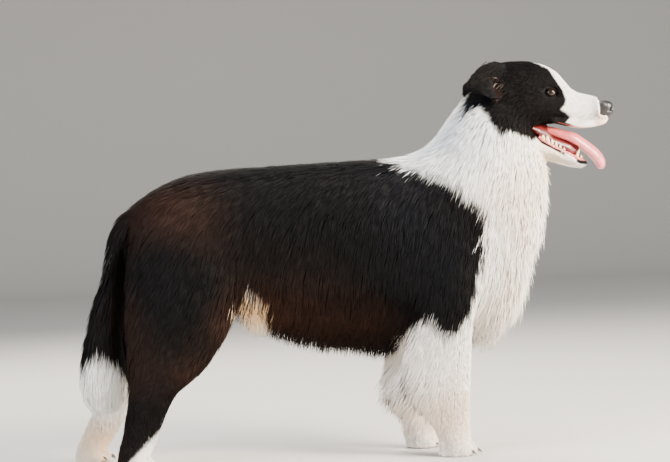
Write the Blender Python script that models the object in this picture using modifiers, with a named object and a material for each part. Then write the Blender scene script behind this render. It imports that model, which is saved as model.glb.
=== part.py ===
"""A life-size border collie, standing square with its mouth open and its tail hanging.

The solids give the outer form of the animal, out to the tips of its coat. The flesh is laid up as
overlapping lofts, fused into one body, thinned to a light mesh and parted with thin cuts into the
pieces that a person would name. Eyes, ears, nose and tongue are solids of their own.

Metres, +Z up. The dog faces +X, its left side is +Y, and it stands on z = 0.
"""

import math

import bmesh
import bpy
import numpy as np
from mathutils import Euler, Matrix, Vector

# Driving dimensions.
GAP = 0.0005            # thin cut between two pieces
CLAY_VOXEL = 0.0034     # grain of the fused body
CLAY_TRIANGLES = 3700   # of the fused body, once thinned
SMOOTH_PASSES = 14      # blends legs and neck into the trunk
HEAD_SMOOTH = 0.25      # share of that smoothing kept on the head and feet
FINE_KEPT = 0.15        # how much less the head and feet are thinned
ROUND = 2.0             # exponent of an ellipse; higher is squarer, lower is sharper

FOREFOOT_BACK = 0.052   # how far the left forefoot stands behind the right one
HINDFOOT_BACK = 0.093   # the same for the hind feet
LEFT_FEATHER_X = 0.064  # the left foreleg's feathering stops here
ELBOW_Z = 0.36          # a foreleg swings from here
HIP_Z = 0.44            # a hind leg swings from here

POCKET_GAP = 0.0005     # round an eye, ear, nose or tongue in its pocket
EYE_RADIUS = 0.0105
EYE_AT = (0.3838, 0.0322, 0.6560)
EYE_OPENING = (0.0112, 0.0100, 0.0062)   # half length, depth and height of the cut for the lids
EYE_OPENING_Y = 0.0455
EYE_SLANT = math.radians(-12.0)
TOOTH_SIDES = 6

# Body lofts. Each row is one section: the x and z of its first edge, the x and z of the opposite
# edge, its y, its half width, and how far along from the first edge it is widest.
# Trunk, rump to chest: back line, then belly line with its fringe.
TRUNK = (
    (-0.412, 0.455, -0.408, 0.420, 0.0, 0.020, 0.50),
    (-0.380, 0.492, -0.385, 0.375, 0.0, 0.062, 0.45),
    (-0.334, 0.520, -0.340, 0.330, 0.0, 0.088, 0.45),
    (-0.285, 0.536, -0.285, 0.292, 0.0, 0.096, 0.42),
    (-0.225, 0.543, -0.222, 0.262, 0.0, 0.097, 0.40),
    (-0.190, 0.5435, -0.190, 0.234, 0.0, 0.098, 0.40),
    (-0.145, 0.544, -0.145, 0.226, 0.0, 0.100, 0.40),
    (-0.065, 0.546, -0.065, 0.206, 0.0, 0.108, 0.40),
    (0.030, 0.549, 0.030, 0.200, 0.0, 0.115, 0.40),
    (0.100, 0.549, 0.088, 0.190, 0.0, 0.117, 0.42),
    (0.160, 0.545, 0.150, 0.208, 0.0, 0.116, 0.45),
    (0.230, 0.520, 0.225, 0.218, 0.0, 0.106, 0.47),
    (0.300, 0.470, 0.290, 0.250, 0.0, 0.080, 0.50),
    (0.335, 0.420, 0.325, 0.310, 0.0, 0.040, 0.50),
)
# Neck, from inside the shoulders up into the skull: nape line, then throat line.
NECK = (
    (0.050, 0.515, 0.320, 0.320, 0.0, 0.100, 0.50),
    (0.110, 0.547, 0.360, 0.400, 0.0, 0.107, 0.50),
    (0.155, 0.567, 0.370, 0.450, 0.0, 0.102, 0.50),
    (0.184, 0.604, 0.374, 0.495, 0.0, 0.093, 0.50),
    (0.206, 0.632, 0.373, 0.525, 0.0, 0.083, 0.50),
    (0.230, 0.660, 0.368, 0.546, 0.0, 0.072, 0.50),
    (0.265, 0.692, 0.362, 0.568, 0.0, 0.060, 0.50),
)
# Chest ruff, throat to its hanging point: front line, then a line inside the trunk.
RUFF = (
    (0.374, 0.510, 0.210, 0.510, 0.0, 0.084, 0.45),
    (0.371, 0.450, 0.200, 0.450, 0.0, 0.094, 0.45),
    (0.362, 0.402, 0.200, 0.400, 0.0, 0.096, 0.45),
    (0.340, 0.356, 0.200, 0.360, 0.0, 0.090, 0.45),
    (0.327, 0.308, 0.210, 0.310, 0.0, 0.076, 0.45),
    (0.316, 0.262, 0.218, 0.262, 0.0, 0.058, 0.45),
    (0.296, 0.238, 0.222, 0.226, 0.0, 0.042, 0.45),
    (0.262, 0.212, 0.222, 0.200, 0.0, 0.022, 0.45),
)
# Right foreleg, shoulder to sole: front line, then the line of its feathering.
FORELEG = (
    (0.252, 0.420, 0.125, 0.400, -0.068, 0.038, 0.45),
    (0.242, 0.340, 0.105, 0.330, -0.074, 0.041, 0.42),
    (0.226, 0.270, 0.107, 0.262, -0.077, 0.038, 0.38),
    (0.218, 0.232, 0.092, 0.225, -0.075, 0.033, 0.34),
    (0.2155, 0.200, 0.079, 0.196, -0.074, 0.029, 0.30),
    (0.214, 0.165, 0.080, 0.162, -0.073, 0.026, 0.28),
    (0.212, 0.128, 0.091, 0.124, -0.072, 0.024, 0.28),
    (0.210, 0.100, 0.105, 0.096, -0.071, 0.0235, 0.32),
    (0.207, 0.068, 0.124, 0.066, -0.071, 0.0235, 0.36),
    (0.207, 0.042, 0.143, 0.040, -0.071, 0.0260, 0.45),
    (0.208, 0.020, 0.148, 0.017, -0.071, 0.0280, 0.48),
    (0.204, -0.008, 0.150, -0.008, -0.071, 0.0265, 0.50),
)
# Right hind leg, hip to sole: front line over the thigh and knee, then the line of the trousers.
HINDLEG = (
    (-0.275, 0.490, -0.375, 0.478, -0.052, 0.038, 0.50),
    (-0.225, 0.430, -0.400, 0.425, -0.062, 0.045, 0.50),
    (-0.204, 0.365, -0.408, 0.360, -0.067, 0.045, 0.50),
    (-0.202, 0.300, -0.414, 0.300, -0.071, 0.041, 0.50),
    (-0.214, 0.250, -0.414, 0.250, -0.074, 0.037, 0.48),
    (-0.245, 0.205, -0.411, 0.200, -0.077, 0.032, 0.46),
    (-0.275, 0.170, -0.408, 0.160, -0.079, 0.028, 0.44),
    (-0.320, 0.136, -0.412, 0.130, -0.081, 0.024, 0.42),
    (-0.342, 0.100, -0.419, 0.098, -0.082, 0.022, 0.42),
    (-0.354, 0.068, -0.427, 0.064, -0.083, 0.022, 0.44),
    (-0.367, 0.040, -0.433, 0.036, -0.083, 0.025, 0.46),
    (-0.378, 0.018, -0.436, 0.015, -0.083, 0.028, 0.48),
    (-0.381, -0.008, -0.434, -0.008, -0.083, 0.0265, 0.50),
)
# Tail, root to plume: rear line, then the line that faces the legs.
TAIL = (
    (-0.372, 0.494, -0.350, 0.440, 0.0, 0.026, 0.50),
    (-0.405, 0.477, -0.382, 0.425, 0.0, 0.026, 0.50),
    (-0.434, 0.450, -0.402, 0.412, 0.0, 0.0255, 0.50),
    (-0.449, 0.405, -0.411, 0.392, 0.0, 0.025, 0.50),
    (-0.458, 0.352, -0.416, 0.350, 0.0, 0.026, 0.50),
    (-0.476, 0.300, -0.420, 0.300, 0.0, 0.029, 0.50),
    (-0.491, 0.245, -0.421, 0.245, 0.0, 0.034, 0.50),
    (-0.504, 0.195, -0.418, 0.197, 0.0, 0.038, 0.50),
    (-0.508, 0.150, -0.411, 0.156, 0.0, 0.039, 0.50),
    (-0.498, 0.113, -0.415, 0.122, 0.0, 0.033, 0.50),
    (-0.478, 0.088, -0.438, 0.093, 0.0, 0.014, 0.50),
)
# Skull and upper muzzle, nape to lip: top line, then cheek and lip line.
SKULL = (
    (0.246, 0.690, 0.262, 0.612, 0.0, 0.040, 0.50),
    (0.268, 0.711, 0.275, 0.592, 0.0, 0.055, 0.50),
    (0.296, 0.7180, 0.298, 0.580, 0.0, 0.0605, 0.52),
    (0.325, 0.7200, 0.325, 0.578, 0.0, 0.0605, 0.54),
    (0.350, 0.7185, 0.348, 0.588, 0.0, 0.0565, 0.55),
    (0.368, 0.7135, 0.366, 0.5965, 0.0, 0.0515, 0.55),
    (0.384, 0.7075, 0.382, 0.6000, 0.0, 0.0455, 0.54),
    (0.400, 0.6975, 0.398, 0.6010, 0.0, 0.0385, 0.55),
    (0.4135, 0.6820, 0.413, 0.5975, 0.0, 0.0330, 0.56),
    (0.428, 0.6640, 0.428, 0.5930, 0.0, 0.0290, 0.54),
    (0.443, 0.6560, 0.443, 0.5905, 0.0, 0.0265, 0.56),
    (0.462, 0.6515, 0.462, 0.5910, 0.0, 0.0248, 0.58),
    (0.478, 0.6475, 0.478, 0.5930, 0.0, 0.0228, 0.60),
    (0.4885, 0.6450, 0.4885, 0.5965, 0.0, 0.0188, 0.60),
    (0.4965, 0.6400, 0.4965, 0.6020, 0.0, 0.0140, 0.60),
    (0.5010, 0.6300, 0.5008, 0.6070, 0.0, 0.0075, 0.60),
)
# Lower jaw, cheek to chin: lip line, then the underside.
JAW = (
    (0.345, 0.594, 0.322, 0.548, 0.0, 0.0430, 0.50),
    (0.3665, 0.5760, 0.350, 0.542, 0.0, 0.0375, 0.50),
    (0.386, 0.5635, 0.3735, 0.5365, 0.0, 0.0310, 0.45),
    (0.402, 0.5545, 0.392, 0.5305, 0.0, 0.0265, 0.45),
    (0.419, 0.5470, 0.410, 0.5240, 0.0, 0.0230, 0.45),
    (0.434, 0.5390, 0.427, 0.5185, 0.0, 0.0195, 0.45),
    (0.446, 0.5335, 0.442, 0.5165, 0.0, 0.0155, 0.45),
    (0.4555, 0.5290, 0.4540, 0.5195, 0.0, 0.0090, 0.50),
)
# Tongue, throat to tip: upper line, then lower line.
TONGUE = (
    (0.358, 0.5950, 0.353, 0.5860, 0.0, 0.0110, 0.50),
    (0.372, 0.5965, 0.367, 0.5850, 0.0, 0.0130, 0.50),
    (0.390, 0.5945, 0.384, 0.5810, 0.0, 0.0150, 0.50),
    (0.411, 0.5870, 0.403, 0.5730, 0.0, 0.0165, 0.50),
    (0.432, 0.5830, 0.4205, 0.5665, 0.0, 0.0170, 0.50),
    (0.449, 0.5700, 0.4370, 0.5565, 0.0, 0.0175, 0.50),
    (0.462, 0.5600, 0.4510, 0.5475, 0.0, 0.0175, 0.50),
    (0.473, 0.5500, 0.4625, 0.5380, 0.0, 0.0175, 0.50),
    (0.4815, 0.5385, 0.4710, 0.5290, 0.0, 0.0165, 0.50),
    (0.4850, 0.5280, 0.4760, 0.5220, 0.0, 0.0135, 0.50),
    (0.4845, 0.5200, 0.4790, 0.5175, 0.0, 0.0080, 0.50),
)
TONGUE_DROOP = 0.008    # how far its edges hang below its middle
# Nose leather, back to front.
NOSE = (
    (0.479, 0.6405, 0.4800, 0.6225, 0.0, 0.0105, 0.50),
    (0.488, 0.6430, 0.4865, 0.6140, 0.0, 0.0145, 0.50),
    (0.4965, 0.6420, 0.4945, 0.6085, 0.0, 0.0155, 0.48),
    (0.5035, 0.6360, 0.5015, 0.6110, 0.0, 0.0135, 0.48),
    (0.5070, 0.6280, 0.5060, 0.6175, 0.0, 0.0075, 0.50),
)
# Right ear, skull to its folded tip: the x, y and z of its upper edge, then of its lower edge,
# and how deep its cup is.
EAR = (
    (0.303, -0.036, 0.713, 0.300, -0.060, 0.656, 0.004),
    (0.286, -0.046, 0.717, 0.283, -0.070, 0.644, 0.010),
    (0.266, -0.056, 0.715, 0.266, -0.077, 0.643, 0.013),
    (0.250, -0.064, 0.706, 0.250, -0.080, 0.653, 0.012),
    (0.236, -0.070, 0.691, 0.236, -0.080, 0.658, 0.008),
    (0.223, -0.074, 0.678, 0.224, -0.078, 0.657, 0.004),
    (0.2140, -0.076, 0.671, 0.217, -0.077, 0.658, 0.001),
)
LEFT_EAR_AHEAD = 0.019  # the left ear is held this much further forward
EAR_THICK = 0.0052

# Teeth of the lower jaw's left side: the x, y and z of base and tip, and the radius.
TEETH = (
    (0.3690, 0.0215, 0.5700, 0.3692, 0.0215, 0.5835, 0.0034),
    (0.3775, 0.0205, 0.5640, 0.3782, 0.0205, 0.5850, 0.0042),
    (0.3855, 0.0195, 0.5600, 0.3862, 0.0195, 0.5745, 0.0030),
    (0.3935, 0.0185, 0.5555, 0.3945, 0.0185, 0.5700, 0.0029),
    (0.4020, 0.0175, 0.5510, 0.4030, 0.0175, 0.5625, 0.0024),
    (0.4325, 0.0130, 0.5340, 0.4370, 0.0140, 0.5510, 0.0031),
    (0.4425, 0.0060, 0.5290, 0.4450, 0.0062, 0.5400, 0.0020),
    (0.4440, 0.0021, 0.5290, 0.4468, 0.0021, 0.5400, 0.0019),
)

# Toes of a paw: ahead of the front of the leg's sole, to the side, and their half length, width
# and height.
TOES = (
    (-0.0040, 0.0085, 0.0165, 0.0092, 0.0135),
    (-0.0040, -0.0085, 0.0165, 0.0092, 0.0135),
    (-0.0170, 0.0215, 0.0165, 0.0090, 0.0125),
    (-0.0170, -0.0215, 0.0165, 0.0090, 0.0125),
)
CLAW_LENGTH, CLAW_RADIUS = 0.0085, 0.0026

# Thin cuts that part the body, each a line of x and z.
HEAD_CUT = ((0.190, 0.688), (0.305, 0.593), (0.420, 0.4985))
JAW_CUT = ((0.3660, 0.5835), (0.3605, 0.5640), (0.3563, 0.5490))
NECK_CUT = ((0.030, 0.607), (0.230, 0.476), (0.420, 0.352))
TAIL_ROOT_CUT = ((-0.335, 0.560), (-0.372, 0.480), (-0.4090, 0.402))
TAIL_REST_CUT = ((-0.4070, 0.406), (-0.4120, 0.370), (-0.4155, 0.290))
TAIL_MIDDLE_CUT = ((-0.520, 0.340), (-0.450, 0.340), (-0.400, 0.340))
TAIL_TIP_CUT = ((-0.560, 0.205), (-0.460, 0.205), (-0.395, 0.205))
PAW_CUT = ((-0.600, 0.046), (0.000, 0.046), (0.300, 0.046))
RUMP_CORNER_CUT = ((-0.4060, 0.4035), (-0.425, 0.398), (-0.450, 0.391))
RUMP_CORNER_INSIDE = 0.0275
KNEE_CUT = ((-0.520, 0.196), (-0.320, 0.214), (-0.170, 0.228))
KNEE_INSIDE = 0.0385    # the cut at the knee starts at this y, clear of the tail
FORELEG_CUT = ((0.036, 0.150), (0.048, 0.186), (0.088, 0.258), (0.238, 0.258), (0.238, 0.150))
FORELEG_LOW = ()
HIND_LEG_CUT = ((-0.214, 0.235), (-0.200, 0.300), (-0.205, 0.345), (-0.240, 0.435),
                (-0.330, 0.478), (-0.3745, 0.4775))
HIND_LEG_LOW = ((-0.4115, 0.400), (-0.4115, 0.290), (-0.330, 0.235))
LEG_INSIDE = 0.030      # a leg is parted from the body at this y
FLAT_ANGLE = math.radians(1.2)   # faces closer to flat than this are joined
CRUMB = 1e-7            # pieces smaller than this are thrown away, in cubic metres

# Colours, roughness and metallic value of the pieces.
BLACK_COAT = (0.012, 0.009, 0.008)
WHITE_COAT = (0.80, 0.76, 0.70)
NOSE_BLACK = (0.010, 0.008, 0.009)
TONGUE_PINK = (0.62, 0.20, 0.18)
EYE_BROWN = (0.060, 0.022, 0.008)

# Where each piece of flesh lies once the body is parted, its name and its colour.
FLESH = {
    "trunk": ((-0.05, 0.0, 0.39), BLACK_COAT),
    "neck": ((0.25, 0.0, 0.53), WHITE_COAT),
    "head": ((0.34, 0.0, 0.645), BLACK_COAT),
    "jaw": ((0.396, 0.0, 0.544), WHITE_COAT),
    "tail_base": ((-0.41, 0.0, 0.44), BLACK_COAT),
    "tail_middle": ((-0.45, 0.0, 0.30), BLACK_COAT),
    "tail_tip": ((-0.46, 0.0, 0.15), WHITE_COAT),
    "foreleg_right": ((0.16, -0.073, 0.14), WHITE_COAT),
    "foreleg_left": ((0.12, 0.073, 0.14), WHITE_COAT),
    "forepaw_right": ((0.19, -0.071, 0.02), WHITE_COAT),
    "forepaw_left": ((0.13, 0.071, 0.02), WHITE_COAT),
    "thigh_right": ((-0.31, -0.08, 0.33), BLACK_COAT),
    "thigh_left": ((-0.33, 0.08, 0.33), BLACK_COAT),
    "shank_right": ((-0.37, -0.086, 0.14), BLACK_COAT),
    "shank_left": ((-0.42, 0.086, 0.14), BLACK_COAT),
    "hindpaw_right": ((-0.39, -0.086, 0.02), WHITE_COAT),
    "hindpaw_left": ((-0.46, 0.086, 0.02), WHITE_COAT),
}


def clear_scene():
    for obj in list(bpy.data.objects):
        bpy.data.objects.remove(obj)


def collection(name):
    made = bpy.data.collections.new(name)
    bpy.context.scene.collection.children.link(made)
    return made


def material(name, colour, roughness):
    made = bpy.data.materials.new(name)
    made.use_nodes = True
    shader = made.node_tree.nodes["Principled BSDF"]
    shader.inputs["Base Color"].default_value = (*colour, 1.0)
    shader.inputs["Roughness"].default_value = roughness
    shader.inputs["Metallic"].default_value = 0.0
    return made


def new_object(name, mesh, home):
    obj = bpy.data.objects.new(name, mesh)
    home.objects.link(obj)
    return obj


def resampled(rows, count):
    """Rows blended by a smooth curve that never overshoots them, at evenly spaced places along
    the line through the middles of their sections."""
    rows = np.asarray(rows, float)
    middles = (rows[:, 0:2] + rows[:, 2:4]) / 2
    steps = np.linalg.norm(np.diff(middles, axis=0), axis=1)
    along = np.concatenate([[0.0], np.cumsum(steps)])
    slopes = np.diff(rows, axis=0) / steps[:, None]
    inner = np.where(
        slopes[:-1] * slopes[1:] > 0,
        2 * slopes[:-1] * slopes[1:] / (slopes[:-1] + slopes[1:] + 1e-12),
        0.0,
    )
    tangents = np.vstack([slopes[:1], inner, slopes[-1:]])
    at = np.linspace(0.0, along[-1], count)
    k = np.clip(np.searchsorted(along, at, side="right") - 1, 0, len(steps) - 1)
    t = ((at - along[k]) / steps[k])[:, None]
    h = steps[k][:, None]
    return (
        (2 * t**3 - 3 * t**2 + 1) * rows[k]
        + (t**3 - 2 * t**2 + t) * h * tangents[k]
        + (3 * t**2 - 2 * t**3) * rows[k + 1]
        + (t**3 - t**2) * h * tangents[k + 1]
    )


def swung(rows, back, pivot_z):
    """Rows of a leg mirrored to the left side, with its foot moved back by a swing at pivot_z."""
    moved = np.array(rows, float)
    for x, z in ((0, 1), (2, 3)):
        share = np.clip((pivot_z - moved[:, z]) / pivot_z, 0.0, 1.0)
        moved[:, x] -= back * share
    moved[:, 4] *= -1
    return moved


def skin_of(rings):
    """Faces of a tube through rings of points, closed by a fan at each end."""
    count, sides, _ = rings.shape
    ends = np.stack([rings[0].mean(axis=0), rings[-1].mean(axis=0)])
    points = np.vstack([rings.reshape(-1, 3), ends])
    faces = []
    for i in range(count - 1):
        for j in range(sides):
            k = (j + 1) % sides
            faces.append((i * sides + j, i * sides + k, (i + 1) * sides + k))
            faces.append((i * sides + j, (i + 1) * sides + k, (i + 1) * sides + j))
    last = (count - 1) * sides
    for j in range(sides):
        k = (j + 1) % sides
        faces.append((count * sides, k, j))
        faces.append((count * sides + 1, last + j, last + k))
    return points, faces


def lengthened(rings, grow):
    """Rings whose first and last are moved outwards by grow."""
    for end, inner in ((0, 1), (-1, -2)):
        step = rings[end].mean(axis=0) - rings[inner].mean(axis=0)
        rings[end] += step / np.linalg.norm(step) * grow
    return rings


def mesh_of(name, rings):
    """A closed mesh through the rings, with its faces pointing out."""
    points, faces = skin_of(rings)
    mesh = bpy.data.meshes.new(name)
    mesh.from_pydata(points.tolist(), [], faces)
    shape = bmesh.new()
    shape.from_mesh(mesh)
    bmesh.ops.recalc_face_normals(shape, faces=shape.faces)
    shape.to_mesh(mesh)
    shape.free()
    return mesh


def loft(name, rows, home, count, sides, first=ROUND, second=ROUND, grow=0.0, droop=0.0):
    """A closed body through sections that are each half a superellipse towards either edge.
    grow makes it larger all round, and droop hangs the sides of each section."""
    rows = resampled(rows, count)
    edge, other = rows[:, None, 0:2], rows[:, None, 2:4]
    wide = rows[:, None, 6:7]
    middle = edge + (other - edge) * wide
    turn = np.linspace(0.0, 2 * math.pi, sides, endpoint=False)[None, :, None]
    rise, across = np.sin(turn), np.cos(turn)
    power = np.where(rise > 0, 2 / first, 2 / second)
    reach = np.where(rise > 0, edge - middle, other - middle)
    length = np.linalg.norm(reach, axis=2, keepdims=True)
    reach = reach * (1 + grow / np.maximum(length, 1e-6))
    plan = middle + reach * np.abs(rise) ** power
    side = rows[:, None, 4:5] + (rows[:, None, 5:6] + grow) * np.sign(across) * np.abs(across) ** power
    plan = plan + np.array([0.0, -1.0]) * droop * across**2
    rings = np.concatenate([plan[..., 0:1], side, plan[..., 1:2]], axis=2)
    return new_object(name, mesh_of(name, lengthened(rings, grow)), home)


def ear_body(name, side, home, grow=0.0, count=13, sides=12):
    """A cupped flap: each section is a thin ellipse whose edges curl outwards by the cup."""
    rows = np.array(EAR, float)
    order = [0, 2, 3, 5, 1, 4, 6]
    rows = resampled(rows[:, order], count)
    top = np.stack([rows[:, 0], rows[:, 4], rows[:, 1]], axis=1)
    low = np.stack([rows[:, 2], rows[:, 5], rows[:, 3]], axis=1)
    cup = rows[:, 6][:, None, None]
    middle = ((top + low) / 2)[:, None, :]
    half = ((top - low) / 2)[:, None, :]
    length = np.linalg.norm(half, axis=2, keepdims=True)
    ahead = np.gradient((top + low) / 2, axis=0)[:, None, :]
    out = np.cross(ahead, half)
    out = out / np.linalg.norm(out, axis=2, keepdims=True)
    out = out * np.sign(-out[..., 1:2])
    turn = np.linspace(0.0, 2 * math.pi, sides, endpoint=False)[None, :, None]
    across = np.cos(turn)
    thick = np.minimum(EAR_THICK / 2 + grow, length + grow)
    rings = (
        middle
        + half * (1 + grow / length) * across
        + out * (thick * np.sin(turn) + cup * (across**2 - 0.5))
    )
    if side < 0:
        rings[..., 0] += LEFT_EAR_AHEAD
        rings[..., 1] *= -1
    return new_object(name, mesh_of(name, lengthened(rings, grow)), home)


def ball(name, centre, radii, home, rings=12, segments=16):
    mesh = bpy.data.meshes.new(name)
    shape = bmesh.new()
    bmesh.ops.create_uvsphere(shape, u_segments=segments, v_segments=rings, radius=1.0)
    bmesh.ops.scale(shape, vec=radii, verts=shape.verts)
    bmesh.ops.translate(shape, vec=centre, verts=shape.verts)
    shape.to_mesh(mesh)
    shape.free()
    return new_object(name, mesh, home)


def cone(name, base, tip, radius, home, sides=TOOTH_SIDES):
    """A tooth or a claw: a pointed cone from the middle of its base to its tip."""
    base, tip = Vector(base), Vector(tip)
    mesh = bpy.data.meshes.new(name)
    shape = bmesh.new()
    bmesh.ops.create_cone(
        shape, cap_ends=True, segments=sides, radius1=radius, radius2=0.0004,
        depth=(tip - base).length,
    )
    bmesh.ops.rotate(shape, matrix=(tip - base).to_track_quat("Z", "Y").to_matrix(), verts=shape.verts)
    bmesh.ops.translate(shape, vec=(base + tip) / 2, verts=shape.verts)
    shape.to_mesh(mesh)
    shape.free()
    return new_object(name, mesh, home)


def prism(name, outline, low_y, high_y, home):
    """A block whose sides follow an outline of x and z, between two y."""
    mesh = bpy.data.meshes.new(name)
    shape = bmesh.new()
    face = shape.faces.new([shape.verts.new((x, low_y, z)) for x, z in outline])
    moved = bmesh.ops.extrude_face_region(shape, geom=[face])["geom"]
    bmesh.ops.translate(
        shape, vec=(0, high_y - low_y, 0), verts=[v for v in moved if isinstance(v, bmesh.types.BMVert)]
    )
    bmesh.ops.recalc_face_normals(shape, faces=shape.faces)
    shape.to_mesh(mesh)
    shape.free()
    return new_object(name, mesh, home)


def evaluated(obj):
    """The object's mesh with its modifiers applied, as a mesh of its own."""
    graph = bpy.context.evaluated_depsgraph_get()
    return bpy.data.meshes.new_from_object(obj.evaluated_get(graph))


def apply_modifiers(obj):
    mesh = evaluated(obj)
    obj.modifiers.clear()
    obj.data = mesh


def joined(name, objects, home):
    """Several meshes as one object, still loose inside each other."""
    whole = bmesh.new()
    for obj in objects:
        whole.from_mesh(obj.data)
        bpy.data.objects.remove(obj)
    mesh = bpy.data.meshes.new(name)
    whole.to_mesh(mesh)
    whole.free()
    return new_object(name, mesh, home)


def boolean(obj, other, operation):
    cut = obj.modifiers.new(operation.title(), "BOOLEAN")
    cut.operation = operation
    cut.solver = "EXACT"
    cut.object = other
    apply_modifiers(obj)


def toes(rows, name, home):
    """The toes ahead of a leg's sole."""
    front, middle = rows[-2][0], rows[-2][4]
    made = []
    for i, (ahead, side, long, broad, tall) in enumerate(TOES):
        at = (front + ahead, middle + side, tall * 0.80)
        made.append(ball(f"{name}_toe_{i}", at, (long, broad, tall), home))
    return made


def claws(rows, name, home):
    """The claw at the front of each toe."""
    front, middle = rows[-2][0], rows[-2][4]
    made = []
    for i, (ahead, side, long, _, tall) in enumerate(TOES):
        base = Vector((front + ahead + long * 0.72, middle + side, tall * 0.80))
        tip = base + Vector((CLAW_LENGTH, 0.0, -CLAW_LENGTH * 0.62))
        made.append(cone(f"{name}_claw_{i}", base, tip, CLAW_RADIUS, home))
    return made


def legs():
    """{name: rows} of the four legs."""
    fore_left = swung(FORELEG, FOREFOOT_BACK, ELBOW_Z)
    fore_left[:, 2] = np.maximum(fore_left[:, 2], LEFT_FEATHER_X)
    return {
        "fore_right": np.array(FORELEG),
        "fore_left": fore_left,
        "hind_right": np.array(HINDLEG),
        "hind_left": swung(HINDLEG, HINDFOOT_BACK, HIP_Z),
    }


def fused_body(home):
    """All the flesh as one closed body: the lofts fused by a voxel remesh, smoothed where they
    meet, and thinned, least of all on the head and feet."""
    lofts = [
        loft("trunk_form", TRUNK, home, 60, 40, first=2.3, second=1.75),
        loft("neck_form", NECK, home, 30, 36, first=2.1, second=2.1),
        loft("ruff_form", RUFF, home, 30, 32, first=1.9, second=2.0),
        loft("skull_form", SKULL, home, 80, 48, first=2.25, second=2.6),
        loft("jaw_form", JAW, home, 40, 28, first=2.6, second=2.2),
        loft("tail_form", TAIL, home, 44, 24),
    ]
    for name, rows in legs().items():
        lofts.append(loft(name, rows, home, 70, 28, first=2.1, second=1.7))
        lofts += toes(rows, name, home)
    body = joined("body", lofts, home)
    remesh = body.modifiers.new("Fuse", "REMESH")
    remesh.mode = "VOXEL"
    remesh.voxel_size = CLAY_VOXEL
    apply_modifiers(body)

    points = np.empty(3 * len(body.data.vertices))
    body.data.vertices.foreach_get("co", points)
    points = points.reshape(-1, 3)
    head = np.clip((points[:, 0] - 0.25) / 0.05, 0, 1) * np.clip((points[:, 2] - 0.49) / 0.04, 0, 1)
    feet = np.clip((0.07 - points[:, 2]) / 0.03, 0, 1)
    fine = np.maximum(head, feet)
    grow_group(body, "smooth", 1.0 - (1.0 - HEAD_SMOOTH) * fine)
    grow_group(body, "coarse", 1.0 - FINE_KEPT * np.maximum(head, feet * 0.7))
    smooth = body.modifiers.new("Blend", "SMOOTH")
    smooth.factor = 0.5
    smooth.iterations = SMOOTH_PASSES
    smooth.vertex_group = "smooth"
    thin = body.modifiers.new("Thin", "DECIMATE")
    thin.ratio = CLAY_TRIANGLES / (2 * len(body.data.polygons))
    thin.vertex_group = "coarse"
    thin.vertex_group_factor = 0.04
    thin.use_collapse_triangulate = True
    apply_modifiers(body)
    body.vertex_groups.clear()
    return body


def grow_group(obj, name, weights):
    """A vertex group with its own weight for each vertex, in steps of a tenth."""
    group = obj.vertex_groups.new(name=name)
    steps = np.rint(weights * 10).astype(int)
    for step in range(1, 11):
        group.add(np.flatnonzero(steps == step).tolist(), step / 10, "REPLACE")


def strip(name, path, low_y, high_y, home):
    """A thin wall that stands on a line of x and z and runs between two y."""
    path = np.asarray(path, float)
    along = np.gradient(path, axis=0)
    along /= np.linalg.norm(along, axis=1, keepdims=True)
    off = np.stack([-along[:, 1], along[:, 0]], axis=1) * GAP / 2
    outline = np.vstack([path - off, (path + off)[::-1]])
    return prism(name, outline.tolist(), low_y, high_y, home)


def hood(name, path, low, inner, outer, home):
    """A thin open box over the top of a leg: its rim follows a line of x and z, its inner side is
    a flat wall that reaches down to the low points, and it's open below and outside."""
    count = len(path)
    points = [(x, outer, z) for x, z in path] + [(x, inner, z) for x, z in (*path, *low)]
    faces = [(i, i + 1, count + i + 1, count + i) for i in range(count - 1)]
    faces.append(tuple(range(count, len(points))))
    mesh = bpy.data.meshes.new(name)
    mesh.from_pydata(points, [], faces)
    shape = bmesh.new()
    shape.from_mesh(mesh)
    bmesh.ops.recalc_face_normals(shape, faces=shape.faces)
    shape.to_mesh(mesh)
    shape.free()
    box = new_object(name, mesh, home)
    thick = box.modifiers.new("Thin wall", "SOLIDIFY")
    thick.thickness = GAP
    thick.offset = 0.0
    apply_modifiers(box)
    return box


def cutters(home):
    """The thin cuts that part the body, and the floor that flattens its soles."""
    floor = [(-0.8, -0.05), (0.8, -0.05), (0.8, 0.0), (-0.8, 0.0)]
    made = [
        prism("floor_cut", floor, -0.3, 0.3, home),
        strip("head_cut", HEAD_CUT, -0.3, 0.3, home),
        strip("jaw_cut", JAW_CUT, -0.1, 0.1, home),
        strip("neck_cut", NECK_CUT, -0.3, 0.3, home),
        strip("tail_root_cut", TAIL_ROOT_CUT, -0.12, 0.12, home),
        strip("tail_rest_cut", TAIL_REST_CUT, -0.035, 0.035, home),
        strip("tail_middle_cut", TAIL_MIDDLE_CUT, -0.046, 0.046, home),
        strip("tail_tip_cut", TAIL_TIP_CUT, -0.0465, 0.0465, home),
        strip("paw_cut", PAW_CUT, -0.3, 0.3, home),
    ]
    for side in (-1, 1):
        inner, outer = side * LEG_INSIDE, side * 0.30
        made.append(hood("foreleg_cut", FORELEG_CUT, FORELEG_LOW, inner, outer, home))
        made.append(hood("hind_leg_cut", HIND_LEG_CUT, HIND_LEG_LOW, inner, outer, home))
        low, high = sorted((side * KNEE_INSIDE, side * 0.30))
        made.append(strip("knee_cut", KNEE_CUT, low, high, home))
        low, high = sorted((side * RUMP_CORNER_INSIDE, side * 0.12))
        made.append(strip("rump_corner_cut", RUMP_CORNER_CUT, low, high, home))
    return made


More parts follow.
